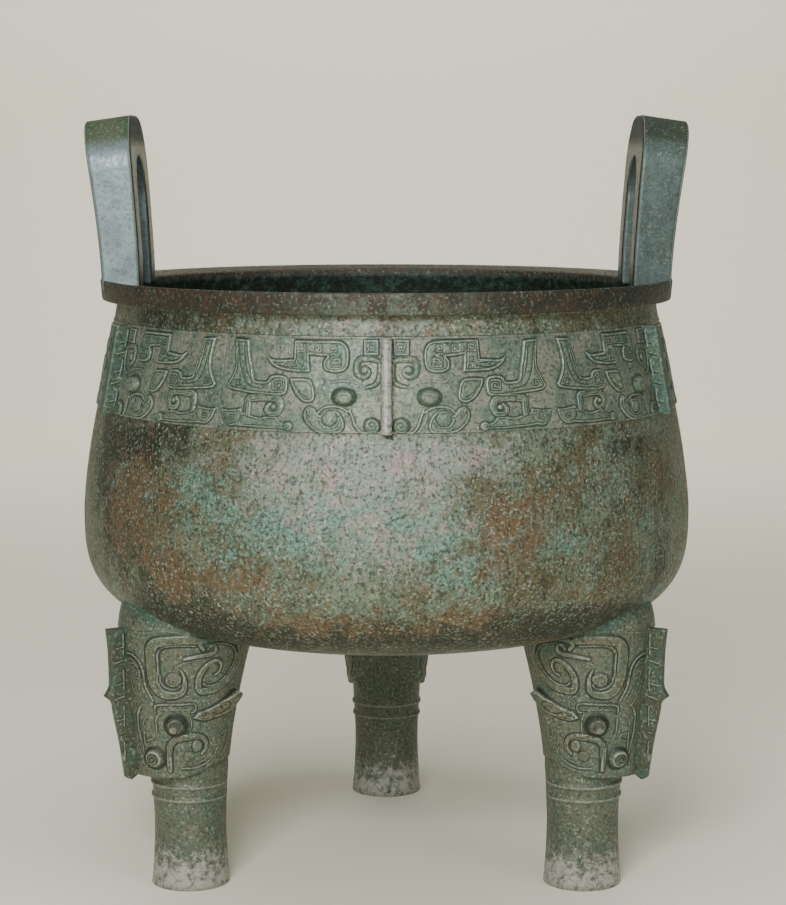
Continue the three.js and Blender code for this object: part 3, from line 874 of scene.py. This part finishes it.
def slab(name, front, back, fields, material):
    """A grid of points closed behind by its first and last rows moved back."""
    rows, columns = front.shape[:2]
    points = np.concatenate([front.reshape(-1, 3), back.reshape(-1, 3)])
    behind_low = rows * columns
    behind_top = behind_low + columns
    faces = []
    for r in range(rows - 1):
        for c in range(columns - 1):
            a = r * columns + c
            faces.append((a, a + 1, a + 1 + columns, a + columns))
    top = (rows - 1) * columns
    for c in range(columns - 1):
        faces.append((behind_low + c, behind_low + c + 1, c + 1, c))
        faces.append((top + c, top + c + 1, behind_top + c + 1, behind_top + c))
        faces.append((behind_low + c + 1, behind_low + c, behind_top + c, behind_top + c + 1))
    left = [r * columns for r in range(rows)]
    right = [r * columns + columns - 1 for r in range(rows)]
    faces.append(tuple([behind_low] + left + [behind_top]))
    faces.append(tuple([behind_top + columns - 1] + right[::-1] + [behind_low + columns - 1]))
    values = {}
    for field, grid in fields.items():
        values[field] = np.concatenate([grid.ravel(), grid[0], grid[-1]])
    return make_mesh(name, points, faces, values, material)


# Ridges that stand on edge


def hook_marks(relief, top, foot, inner, outer):
    """Thin raised marks down a ridge: an upright hook, then a bar, again and again."""
    pair = 48 if outer - inner > 11 else 38
    z = top - 4
    while z > foot + 8:
        low = max(z - pair * 0.56, foot + 2)
        relief.line([(inner, z), (inner - 0.8, (z + low) / 2), (inner, low)], 1.2, 1.1)
        relief.line([(inner, z - pair * 0.36), (outer - 2, z - pair * 0.4)], 1.1, 1.1)
        if z - pair * 0.76 > foot + 3:
            bar = [(inner - 1, z - pair * 0.73), (outer, z - pair * 0.79)]
            relief.line(bar, 1.2, 1.1)
        z -= pair


def ridge(name, azimuth, rows, width, root, outer, columns, material, marks):
    """A plate on edge between two lines of distances from the axis.

    rows holds the heights at the root and at the outer edge, row by row, and marks
    how far from the root the marks on its sides begin and end."""
    share = np.linspace(0, 1, columns)[None, :]
    root_z, outer_z = rows
    distance = mix(root[:, None], outer[:, None], share)
    z = mix(root_z[:, None], outer_z[:, None], share)
    relief = Relief(distance - root[:, None], z)
    hook_marks(relief, z.max() - 3, z.min() + 4, *marks)
    edge = smooth(0, 2.2, outer[:, None] - distance) * 0.6 + 0.4
    lump = 0.5 * (noise(np.stack([distance, z, z * 0], -1), 14, 21) - 0.5)
    offset = width / 2 * mix(0.82, 1.0, edge) + relief.height + lump
    left = turned(distance, -offset, z, azimuth)
    right = turned(distance, offset, z, azimuth)[:, ::-1]
    rings = np.concatenate([left, right], 1)
    wear_and_highlight, hollow_patina_and_shade = wear_of(relief.height, relief)
    fields = {"relief": relief.height / 4 + 0.8, "wear_and_highlight": wear_and_highlight, "hollow_patina_and_shade": hollow_patina_and_shade}
    for field, grid in fields.items():
        fields[field] = np.concatenate([grid, grid[:, ::-1]], 1)
    return stack(name, rings, material, fields)


def nose_ridge(number, azimuth, material):
    """The ridge down the middle of a mask of the band."""
    share = np.linspace(0, 1, 90)
    z = mix(BAND_BOTTOM + 0.5, BAND_TOP - 0.5, share)
    base = mix(BAND_BOTTOM_RADIUS, BAND_TOP_RADIUS, share)
    reach = mix(RIDGE_FOOT_REACH, RIDGE_REACH, share)
    ends = smooth(0, 0.02, share) * smooth(0, 0.02, 1 - share)
    outer = base + reach - 1.5 * (1 - ends)
    return ridge(f"band_ridge_{number}", azimuth, (z, z), RIDGE_WIDTH, base - 4, outer, 18,
                 material, RIDGE_MARKS)


# Legs


def leg_halves(z):
    """Half-widths of the leg's column and of its mask at each height."""
    down = np.clip((WAIST_HEIGHT - z) / WAIST_HEIGHT, 0, 1)
    up = np.clip((z - WAIST_HEIGHT) / (MASK_FOOT - WAIST_HEIGHT), 0, 1)
    column = WAIST_RADIUS + (FOOT_RADIUS - WAIST_RADIUS) * down**2
    column = column + (ANKLE_RADIUS - WAIST_RADIUS) * up**1.4
    t = np.clip((z - MASK_FOOT) / (MASK_TOP - MASK_FOOT), 0, 1)
    above = smooth(0, 1, (z - MASK_TOP) / (LEG_TOP - MASK_TOP))
    powers = (1, 1.3, 1.5)
    mask = []
    for low, high, top, power in zip(CHIN, BROW, LEG_SHOULDER, powers):
        mask.append(mix(mix(low, high, t**power), top, above))
    return column, mask


def reach_of(turn, halves):
    out, side, back = halves
    along = np.cos(turn) / np.where(np.cos(turn) > 0, out, back)
    return 1 / np.hypot(along, np.sin(turn) / side)


def bowl_underside(radius):
    """Height of the bowl's outside over a distance from its axis, on its lower half."""
    under = under_curve()
    return np.interp(radius, under[:, 0], under[:, 1])


def mask_edge(across):
    """Height of the mask's lower edge, which rises towards the leg's inward side."""
    return MASK_FOOT + 18 * smooth(70, 150, abs(across))


def leg_top(turn):
    """Where each upright line of the leg meets the middle of the bowl's wall."""
    z = np.full(turn.shape, 340.0)
    for _ in range(12):
        _, halves = leg_halves(z)
        reach = reach_of(turn, halves)
        radius = np.hypot(LEG_CIRCLE + reach * np.cos(turn), reach * np.sin(turn))
        z = bowl_underside(np.minimum(radius, BELLY_RADIUS - 4)) + WALL / 2
    return z


def column_shares():
    """Shares of the column's height, close together where its two rings lie."""
    return np.concatenate([
        np.linspace(0, 0.64, 12), np.linspace(0.66, 0.92, 28), np.linspace(0.94, 1, 4),
    ])


def leg_rows(edge, top):
    """Heights of the leg's rows, and how much each row belongs to the mask."""
    heights = []
    shares = []
    for t in column_shares():
        heights.append(t * (edge - 1.2))
        shares.append(0)
    for step, share in ((0.9, 0.25), (0.4, 0.62), (0.1, 0.9)):
        heights.append(edge - step)
        shares.append(share)
    for t in np.linspace(0, 1, LEG_MASK_ROWS):
        heights.append(edge + t * (top - edge))
        shares.append(1)
    return np.array(heights), np.array(shares)[:, None]


def ring_swell(z):
    """How far the leg's two rings stand out at each height, from 0 to 1."""
    rings = [1 - ((z - at) / RING_HALF_WIDTH) ** 2 for at in RING_HEIGHTS]
    return sum(np.sqrt(np.clip(ring, 0, 1)) for ring in rings)


def leg(number, azimuth, material):
    """A leg's column and mask, closed at the top inside the bowl's wall."""
    turn = np.linspace(-math.pi, math.pi, LEG_AROUND, endpoint=False)
    across = turn * LEG_ARC_RADIUS
    edge = mask_edge(across)
    top = leg_top(turn)
    z, share = leg_rows(edge, top)
    column, halves = leg_halves(z)
    swell = ring_swell(z)
    column = column + RING_SWELL * swell * smooth(-0.9, -0.3, np.cos(turn))
    mask = reach_of(turn[None, :], halves)
    place = np.stack([mask * np.cos(turn), mask * np.sin(turn) + number * LEG_APART, z], -1)
    drift = 1.4 * (noise(place, 34, 31) - 0.5)
    drawn = leg_relief(across[None, :] + drift, z + drift)
    on_mask = (share == 1) * smooth(0, 3, z - edge) * smooth(0, 10, top - z)
    relief = drawn.height * on_mask * mix(0.75, 1.0, noise(place, 40, 32))
    # the painted paleness and darkness of the bosses, kept to the mask
    drawn.light = drawn.light * on_mask
    drawn.dark = drawn.dark * on_mask
    rough = 0.5 * (noise(place, 11, 33) - 0.5)
    reach = mix(column, mask, share) + relief + rough * smooth(0, 6, z)
    rings = turned(LEG_CIRCLE + reach * np.cos(turn), reach * np.sin(turn), z, azimuth)
    cap = top_cap(rings[-1], azimuth)
    wear_and_highlight, hollow_patina_and_shade = wear_of(relief, drawn)
    fields = {
        "relief": relief / LEG_RELIEF,
        # the rings' crests painted paler: wear and painted highlight
        "wear_and_highlight": np.maximum(wear_and_highlight, 0.7 * smooth(0.7, 1.0, swell) * (1 - share)),
        "hollow_patina_and_shade": hollow_patina_and_shade,
        "foot": 1 - smooth(0, CRUST_TOP, z),
        "neck": smooth(-26, -6, z - top) * smooth(-0.6, 0.4, np.cos(turn)),
    }
    for field, grid in fields.items():
        fields[field] = np.concatenate([grid] + [grid[-1:]] * len(cap))
    return stack(f"leg_{number}", np.concatenate([rings, cap]), material, fields)


def top_cap(ring, azimuth):
    """Rings that close the leg's top inside the bowl's wall."""
    centre = LEG_CIRCLE * np.array([math.cos(azimuth), math.sin(azimuth)])
    caps = []
    for share in (0.75, 0.5, 0.25, 0.06):
        flat = centre + (ring[:, :2] - centre) * share
        z = bowl_underside(np.hypot(*flat.T)) + WALL / 2
        caps.append(np.concatenate([flat, z[:, None]], 1))
    return np.array(caps)


def leg_fin(number, azimuth, material):
    """The hooked ridge down a leg's outward side."""
    outline = curve([
        (87, 150.8), (93, 153.5), (93, 153.5), (99, 195), (108, 240), (111, 256),
        (121, 265), (121, 265), (114, 276), (113, 290), (114, 325), (117, 354), (117, 354),
    ])
    rows = 150
    outline = even_line(outline, rows)
    share = np.linspace(0, 1, rows)
    root = np.full(rows, CHIN[0] - 8.0)
    root_z = mix(MASK_FOOT + 5, MASK_TOP, share)
    return ridge(f"leg_ridge_{number}", azimuth, (root_z, outline[:, 1]), FIN_WIDTH,
                 root + LEG_CIRCLE, outline[:, 0] + LEG_CIRCLE, 34, material, FIN_MARKS)


# Ears


def ear_lines(count):
    """Matching lines round an ear's opening and round its outside."""
    spring = EAR_HEIGHT - EAR_ARCH - EAR_GAP / 2
    half = EAR_WIDTH / 2
    gap = EAR_GAP / 2
    corner = EAR_HEIGHT - EAR_SHOULDER
    right = [(half, spring)]
    for a in np.linspace(0, math.pi / 2, 30):
        across = half - EAR_SHOULDER + EAR_SHOULDER * math.cos(a)
        right.append((across, corner + EAR_SHOULDER * math.sin(a)))
    right = np.array(right + [(0, EAR_HEIGHT)])
    angle = np.arctan2(right[:, 1] - spring, right[:, 0])
    upright = np.linspace(-EAR_ROOT, spring, count // 4, endpoint=False)
    inner = [(gap, z) for z in upright]
    outer = [(half, z) for z in upright]
    for a in np.linspace(0, math.pi / 2, count // 4):
        inner.append((gap * math.cos(a), spring + gap * math.sin(a)))
        outer.append((np.interp(a, angle, right[:, 0]), np.interp(a, angle, right[:, 1])))
    inner = np.array(inner)
    outer = np.array(outer)
    mirror = np.array([-1, 1])
    inner = np.concatenate([inner, (inner[:-1] * mirror)[::-1]])
    outer = np.concatenate([outer, (outer[:-1] * mirror)[::-1]])
    return inner, outer


def ear_section(inner, outer):
    """Points round one section: y, z, share of the thickness, push outward, and the paleness of
    rounded edges, as wear and painted highlight.
    """
    width = math.hypot(*(outer - inner))
    broad = np.concatenate([[0, 0.012], np.linspace(0.05, 0.95, 30), [0.988, 1]])
    thick = np.concatenate([[0.012, 0.05], np.linspace(0.1, 0.9, 10), [0.95, 0.988]])
    broad_off = EAR_ROUNDING * (1 - smooth(0, 0.05, np.minimum(broad, 1 - broad)))
    thick_off = EAR_ROUNDING * (1 - smooth(0, 0.05, np.minimum(thick, 1 - thick)))
    line = EAR_LINE_DEPTH * sum(bell(broad, spot, 0.022) for spot in EAR_LINE_SPOTS)

    def side(start, end, shares, depth, push, off):
        y = mix(start[0], end[0], shares)
        z = mix(start[1], end[1], shares)
        return np.stack([y, z, depth, push, off / EAR_ROUNDING], 1)

    flat = thick * 0
    pull = thick_off / width
    outward = side(inner, outer, broad, broad * 0 + 1, -broad_off - line, broad_off)
    outside = side(outer, inner, pull, thick, flat, thick_off)
    inward = side(inner, outer, broad, broad * 0, broad_off + line * 0.4, broad_off)
    opening = side(inner, outer, pull, thick, flat, thick_off)
    return np.concatenate([outward, outside[::-1], inward[::-1], opening])


def ear(side, name, material):
    """A loop of square section that leans outward, with lines along its broad faces."""
    grid = np.array([ear_section(*pair) for pair in zip(*ear_lines(150))])
    y, z, depth, push, wear_and_highlight = np.moveaxis(grid, -1, 0)
    share = np.clip(z / EAR_HEIGHT, 0, 1) ** EAR_BEND
    near = EAR_INNER + EAR_INNER_LEAN * share
    far = EAR_INNER + EAR_THICKNESS + EAR_OUTER_LEAN * share
    x = mix(near, far, depth) + push
    x = x - 0.5 * noise(np.stack([x, y, z], -1), 40, 41)
    fall = EAR_TOP_FALL * share * depth
    place = np.stack([side * x, side * y, RIM_HEIGHT + z - fall], -1)
    fields = {
        "wear_and_highlight": wear_and_highlight,
        "inside": (depth < 0.02).astype(float),
        "crown": smooth(EAR_HEIGHT - 46, EAR_HEIGHT - 24, z),
    }
    return stack(name, place, material, fields)


# Materials


def rgb(red, green, blue):
    """A colour seen as these values from 0 to 255, in the numbers that a shader takes."""
    shares = [red / 255, green / 255, blue / 255]
    linear = [s / 12.92 if s <= 0.04045 else ((s + 0.055) / 1.055) ** 2.4 for s in shares]
    return (*linear, 1.0)


def darker(colour, share):
    return (*(part * share for part in colour[:3]), 1.0)


class Finish:
    """A node material with a principled shader, built layer by layer."""

    def __init__(self, name):
        self.material = bpy.data.materials.new(name)
        self.material.use_nodes = True
        self.tree = self.material.node_tree
        self.tree.nodes.clear()
        self.shader = self.node("ShaderNodeBsdfPrincipled")
        output = self.node("ShaderNodeOutputMaterial")
        self.link(self.shader.outputs[0], output.inputs[0])
        self.spot = self.node("ShaderNodeTexCoord").outputs["Object"]

    def node(self, kind, **settings):
        made = self.tree.nodes.new(kind)
        for key, value in settings.items():
            setattr(made, key, value)
        return made

    def link(self, start, end):
        self.tree.links.new(start, end)

    def put(self, socket, value):
        if hasattr(value, "is_output"):
            self.link(value, socket)
        else:
            socket.default_value = value

    def noise(self, size, detail=4.0, rough=0.55, warp=0.0, spot=None):
        """Cloudy values from 0 to 1 with lumps about size mm wide."""
        made = self.node("ShaderNodeTexNoise")
        self.link(spot or self.spot, made.inputs["Vector"])
        made.inputs["Scale"].default_value = 1 / (size * MM)
        made.inputs["Detail"].default_value = detail
        made.inputs["Roughness"].default_value = rough
        made.inputs["Distortion"].default_value = warp
        return made.outputs["Fac"]

    def streaks(self, size):
        """Cloudy values like noise, but drawn out upright."""
        drawn = self.node("ShaderNodeVectorMath", operation="MULTIPLY")
        self.link(self.spot, drawn.inputs[0])
        drawn.inputs[1].default_value = (1.0, 1.0, 0.22)
        return self.noise(size, 6, 0.75, spot=drawn.outputs[0])

    def field(self, name):
        return self.node("ShaderNodeAttribute", attribute_name=name).outputs["Fac"]

    def maths(self, kind, a, b=0.0):
        made = self.node("ShaderNodeMath", operation=kind)
        self.put(made.inputs[0], a)
        self.put(made.inputs[1], b)
        return made.outputs[0]

    def span(self, value, low, high, start=0.0, stop=1.0):
        """value from low to high becomes start to stop, softly."""
        made = self.node("ShaderNodeMapRange", interpolation_type="SMOOTHSTEP")
        self.put(made.inputs["Value"], value)
        ends = {"From Min": low, "From Max": high, "To Min": start, "To Max": stop}
        for key, number in ends.items():
            made.inputs[key].default_value = number
        return made.outputs["Result"]

    def blend(self, share, under, over):
        made = self.node("ShaderNodeMix", data_type="RGBA")
        self.put(made.inputs[0], share)
        self.put(made.inputs[6], under)
        self.put(made.inputs[7], over)
        return made.outputs[2]

    def done(self, colour, rough, metal, height, distance, strength=0.5):
        self.link(colour, self.shader.inputs["Base Color"])
        self.put(self.shader.inputs["Roughness"], rough)
        self.put(self.shader.inputs["Metallic"], metal)
        bump = self.node("ShaderNodeBump")
        bump.inputs["Strength"].default_value = strength
        bump.inputs["Distance"].default_value = distance * MM
        self.link(height, bump.inputs["Height"])
        self.link(bump.outputs[0], self.shader.inputs["Normal"])
        return self.material


OLIVE = rgb(88, 85, 60)
BROWN = rgb(101, 82, 56)
DARK_OLIVE = rgb(42, 44, 30)
GREY_GREEN = rgb(106, 120, 102)
HIGHLIGHT_GREEN = rgb(124, 134, 122)
TEAL = rgb(104, 142, 126)
DEEP_TEAL = rgb(58, 92, 78)
DEEP_RUST = rgb(62, 48, 34)
DARK_BROWN = rgb(42, 40, 30)
PALE = rgb(186, 190, 178)
PALE_GREEN = rgb(128, 158, 142)
HIGHLIGHT_ROSE = rgb(150, 136, 130)
BLACK_GREEN = rgb(28, 36, 30)
CHALK = rgb(178, 176, 168)
MOSS = rgb(50, 86, 48)
TAN = rgb(84, 98, 64)


def grained(finish, colour, dark=0.5, pale=0.5):
    """Fine dark pits and pale crumbs, which come in drifts."""
    pits = finish.span(finish.noise(4.4, 3, 0.65), 0.48, 0.64, 0, dark)
    colour = finish.blend(pits, colour, DARK_OLIVE)
    crumbs = finish.span(finish.noise(3.8, 3, 0.65), 0.53, 0.66, 0, pale)
    drift = finish.span(finish.noise(34, 5, 0.7), 0.4, 0.6, 0.45, 1)
    tone = finish.blend(finish.span(finish.noise(17, 4, 0.7), 0.44, 0.56), PALE, PALE_GREEN)
    return finish.blend(finish.maths("MULTIPLY", crumbs, drift), colour, tone)


def flecks(finish, field, amount, low, high, size=8):
    """Where small flecks lie: thick where the field is near 1, few where it is 0."""
    value = finish.maths("MULTIPLY", finish.field(field), amount)
    small = finish.maths("MULTIPLY", finish.noise(size, 6, 0.8), 0.45)
    large = finish.maths("MULTIPLY", finish.noise(size * 4, 6, 0.7, 0.4), 0.55)
    value = finish.maths("ADD", value, finish.maths("ADD", small, large))
    return finish.span(value, low, high)


def belly_finish():
    finish = Finish("patina_belly")
    cloud = finish.noise(64, 7, 0.62)
    patchy = finish.noise(18, 7, 0.78, 0.3)
    colour = finish.blend(finish.span(cloud, 0.4, 0.6), OLIVE, GREY_GREEN)
    colour = finish.blend(finish.span(patchy, 0.5, 0.62, 0, 0.7), colour, BROWN)
    colour = finish.blend(finish.span(patchy, 0.38, 0.48, 0.7, 0), colour, DARK_OLIVE)
    # Painted highlight: pale grey-green and rose flecks on the belly where the lamps' reflection
    # falls.
    highlight_tone = finish.blend(finish.span(finish.noise(30, 5, 0.7), 0.46, 0.6), HIGHLIGHT_GREEN, HIGHLIGHT_ROSE)
    colour = finish.blend(flecks(finish, "painted_highlight", 0.24, 0.54, 0.76, 11), colour, highlight_tone)
    # dark flecks: patina, thickened as painted shade on the underside and flanks
    colour = finish.blend(flecks(finish, "dark", 0.26, 0.53, 0.7, 10), colour, DARK_OLIVE)
    colour = finish.blend(flecks(finish, "rust", 0.18, 0.56, 0.7, 9), colour, BROWN)
    streak = finish.span(finish.streaks(9), 0.5, 0.64, 0, 0.45)
    colour = finish.blend(streak, colour, DARK_OLIVE)
    tone = finish.blend(finish.span(finish.noise(5, 4, 0.7), 0.42, 0.58), DEEP_TEAL, TEAL)
    colour = finish.blend(flecks(finish, "teal", 0.16, 0.57, 0.73, 5), colour, tone)
    colour = grained(finish, colour, 0.8, 0.75)
    brown = finish.blend(finish.span(finish.noise(22, 6, 0.7), 0.42, 0.58), DARK_BROWN, DEEP_RUST)
    # painted highlight on the lip's middle
    brown = finish.blend(flecks(finish, "painted_highlight", 0.2, 0.54, 0.74, 9), brown, GREY_GREEN)
    # dark flecks on the lip: patina, and painted shade at its sides
    brown = finish.blend(flecks(finish, "dark", 0.4, 0.5, 0.66, 9), brown, BLACK_GREEN)
    brown = grained(finish, brown, 0.5, 0.3)
    colour = finish.blend(finish.field("lip"), colour, brown)
    # Inside the bowl: teal-flecked patina on near black-green, a painted shade inside the bowl.
    inside_patina_and_shade = finish.blend(finish.span(finish.noise(12, 6, 0.8), 0.45, 0.7), BLACK_GREEN, DEEP_TEAL)
    colour = finish.blend(finish.field("inside"), colour, inside_patina_and_shade)
    fine = finish.noise(6, 6, 0.75)
    rough = finish.span(fine, 0.35, 0.65, 0.42, 0.64)
    return finish.done(colour, rough, 0.35, fine, 1.8, 0.6)


def carved_finish(name, top, ground, worn_edge_and_highlight_tone, hollow_patina_and_shade_tone, green_share):
    """Patina on relief: a tone for raised faces, one for the ground, a pale one for edges that is
    partly painted highlight, and a dark one for hollows that is partly painted shade.
    """
    finish = Finish(name)
    cloud = finish.noise(40, 6, 0.68, 0.3)
    patchy = finish.noise(13, 6, 0.75)
    raised = finish.span(finish.field("relief"), 0.15, 0.6)
    colour = finish.blend(raised, ground, top)
    colour = finish.blend(finish.span(cloud, 0.44, 0.6, 0, green_share), colour, DEEP_TEAL)
    colour = finish.blend(finish.span(patchy, 0.52, 0.66, 0, 0.55), colour, OLIVE)
    colour = grained(finish, colour, 0.62, 0.55)
    # hollows painted dark: green patina, and painted shade in recesses
    hollow_darkening = finish.span(finish.field("hollow_patina_and_shade"), 0.08, 0.6, 0, 0.88)
    colour = finish.blend(hollow_darkening, colour, hollow_patina_and_shade_tone)
    gate = finish.span(finish.noise(7, 5, 0.7), 0.36, 0.56, 0.2, 1)
    # raised edges painted pale: wear, and a painted highlight where they catch the light
    wear_and_highlight = finish.span(finish.field("wear_and_highlight"), 0.3, 0.85, 0, 0.58)
    colour = finish.blend(finish.maths("MULTIPLY", wear_and_highlight, gate), colour, worn_edge_and_highlight_tone)
    fine = finish.noise(5, 5, 0.75)
    rough = finish.span(fine, 0.35, 0.65, 0.42, 0.62)
    return finish, colour, rough, fine


def band_finish():
    finish, colour, rough, fine = carved_finish(
        "patina_band", rgb(106, 118, 100), rgb(122, 125, 110), rgb(172, 180, 168),
        rgb(40, 58, 46), 0.6)
    return finish.done(colour, rough, 0.35, fine, 0.9, 0.45)


# The front ridge is painted paler than the side ridges: partly patina, partly painted light, as it
# faces the lamps.
def lit_front_ridge_finish():
    finish, colour, rough, fine = carved_finish(
        "patina_ridge_front_lit", rgb(156, 152, 146), rgb(150, 146, 138), PALE, rgb(70, 84, 72), 0.15)
    return finish.done(colour, rough, 0.35, fine, 0.8, 0.4)


# The side ridges are painted darker: partly patina, partly painted shade, as they face sideways.
def shaded_side_ridge_finish():
    finish, colour, rough, fine = carved_finish(
        "patina_ridge_side_shaded", rgb(72, 92, 78), rgb(58, 76, 64), rgb(150, 170, 158),
        rgb(36, 48, 38), 0.6)
    return finish.done(colour, rough, 0.35, fine, 0.8, 0.4)


def fin_finish():
    finish, colour, rough, fine = carved_finish(
        "patina_fin", rgb(70, 76, 60), rgb(60, 62, 48), rgb(166, 172, 156), rgb(34, 38, 28), 0.5)
    return finish.done(colour, rough, 0.3, fine, 0.8, 0.4)


def leg_finish():
    finish, colour, rough, fine = carved_finish(
        "patina_leg", rgb(96, 94, 76), rgb(92, 96, 80), rgb(170, 176, 158), rgb(32, 42, 34), 0.42)
    green = grained(finish, rgb(54, 86, 74), 0.8, 0.5)
    colour = finish.blend(flecks(finish, "neck", 0.16, 0.54, 0.74, 7), colour, green)
    crust = finish.maths("MULTIPLY", finish.field("foot"), 0.25)
    crust = finish.maths("ADD", crust, finish.noise(11, 7, 0.8, 0.3))
    chips = finish.span(crust, 0.6, 0.78, 0, 0.85)
    colour = finish.blend(chips, colour, CHALK)
    return finish.done(colour, rough, 0.25, fine, 1.0, 0.5)


def ear_finish(name, face, light, inner):
    """Smooth blue-grey on the sides, green and brown on the crown, dark on the inner face."""
    finish = Finish(name)
    fine = finish.noise(5, 5, 0.7)
    cloud = finish.noise(50, 6, 0.68, 0.3)
    colour = finish.blend(finish.span(cloud, 0.4, 0.62), face, darker(face, 0.72))
    # light: how bright the crown is; lower on the right ear, as painted shade
    green = finish.blend(finish.span(cloud, 0.45, 0.6), darker(MOSS, light), darker(TAN, light))
    colour = finish.blend(finish.field("crown"), colour, green)
    dark = finish.blend(finish.span(cloud, 0.45, 0.6), rgb(24, 36, 30), inner)
    colour = finish.blend(finish.field("inside"), colour, dark)
    colour = grained(finish, colour, 0.35, 0.25)
    # rounded edges painted paler: wear and painted highlight
    worn = finish.span(finish.field("wear_and_highlight"), 0.3, 0.9, 0, 0.45)
    colour = finish.blend(worn, colour, rgb(150, 158, 146))
    rough = finish.maths("ADD", finish.span(fine, 0.3, 0.7, 0.34, 0.52),
                         finish.maths("MULTIPLY", finish.field("crown"), 0.35))
    metal = finish.maths("MULTIPLY", finish.maths("SUBTRACT", 1.0, finish.field("crown")), 0.45)
    return finish.done(colour, rough, metal, fine, 0.6, 0.35)


# Stage, light and camera


def plain_finish(name, colour, rough):
    finish = Finish(name)
    finish.shader.inputs["Base Color"].default_value = colour
    finish.shader.inputs["Roughness"].default_value = rough
    return finish.material


def studio_floor():
    """A pale sheet that lies flat, then turns up well behind the vessel."""
    front, back, half_width = -9.0, 4.8, 9.0
    bend, wall = 1.2, 5.0
    line = [(front, 0.0), (back, 0.0)]
    for a in np.linspace(0, math.pi / 2, 16):
        line.append((back + bend * math.sin(a), bend - bend * math.cos(a)))
    line.append((back + bend, wall))
    points = [(x, y, z) for y, z in line for x in (-half_width, half_width)]
    faces = [(2 * i, 2 * i + 1, 2 * i + 3, 2 * i + 2) for i in range(len(line) - 1)]
    mesh = bpy.data.meshes.new("studio_floor")
    mesh.from_pydata(points, [], faces)
    mesh.polygons.foreach_set("use_smooth", [True] * len(faces))
    mesh.materials.append(plain_finish("pale_floor", rgb(250, 247, 226), 0.85))
    floor = bpy.data.objects.new("studio_floor", mesh)
    bpy.context.scene.collection.objects.link(floor)


def aim(thing, target):
    direction = Vector(target) - thing.location
    thing.rotation_euler = direction.to_track_quat("-Z", "Y").to_euler()


def area_light(name, place, target, size, power):
    data = bpy.data.lights.new(name, "AREA")
    data.shape = "RECTANGLE"
    data.size, data.size_y = size
    data.energy = power
    light = bpy.data.objects.new(name, data)
    light.location = place
    bpy.context.scene.collection.objects.link(light)
    aim(light, target)


def studio():
    studio_floor()
    area_light("key_light", (-0.55, -2.75, 1.7), (0, 0, 0.55), (1.1, 0.9), 82)
    area_light("fill_light", (2.4, -2.4, 1.7), (0.2, 0, 0.2), (1.4, 1.4), 14)
    area_light("top_light", (0, -0.2, 3.2), (0, 0, 0.6), (2.6, 1.8), 46)
    area_light("wall_light", (0, 3.7, 3.5), (0, 6.0, 0.9), (5.5, 0.5), 120)
    world = bpy.data.worlds.new("studio")
    world.use_nodes = True
    world.node_tree.nodes["Background"].inputs[0].default_value = (1, 0.985, 0.95, 1)
    world.node_tree.nodes["Background"].inputs[1].default_value = 0.2
    bpy.context.scene.world = world


def camera():
    distance, height, tilt = 3.148, 0.960, 7.26
    data = bpy.data.cameras.new("camera")
    data.lens = 91.57
    data.shift_x = 0.0072
    seen = bpy.data.objects.new("camera", data)
    seen.location = (0, AXIS_Y * MM - distance, height)
    seen.rotation_euler = (math.radians(90 - tilt), 0, 0)
    bpy.context.scene.collection.objects.link(seen)
    bpy.context.scene.camera = seen


def vessel():
    bowl(belly_finish())
    band = band_finish()
    lit_pale_plate = lit_front_ridge_finish()
    shaded_dark_plate = shaded_side_ridge_finish()
    for i in range(3):
        band_arc(f"mask_band_{i + 1}", (2 * i, 2 * i + 1), band)
    for i, degrees in enumerate(MASK_TURNS):
        # paler plate on the front ridge, darker one on the side ridges: partly painted light and
        # shade
        plate = shaded_dark_plate if i else lit_pale_plate
        nose_ridge(i + 1, FRONT + math.radians(degrees), plate)
    skin = leg_finish()
    edge = fin_finish()
    for i in range(LEGS):
        azimuth = FRONT + math.pi + i * 2 * math.pi / LEGS
        leg(i + 1, azimuth, skin)
        leg_fin(i + 1, azimuth, edge)
    # The ears take copies of one finish: the right one darker as painted shade, the left one paler
    # as lit by the key light on the left.
    ear(1, "ear_right", ear_finish("patina_ear_right_shaded", rgb(80, 96, 92), 0.2, rgb(32, 46, 40)))
    ear(-1, "ear_left", ear_finish("patina_ear_left_lit", rgb(116, 132, 134), 0.5, rgb(46, 62, 54)))


vessel()
studio()
camera()
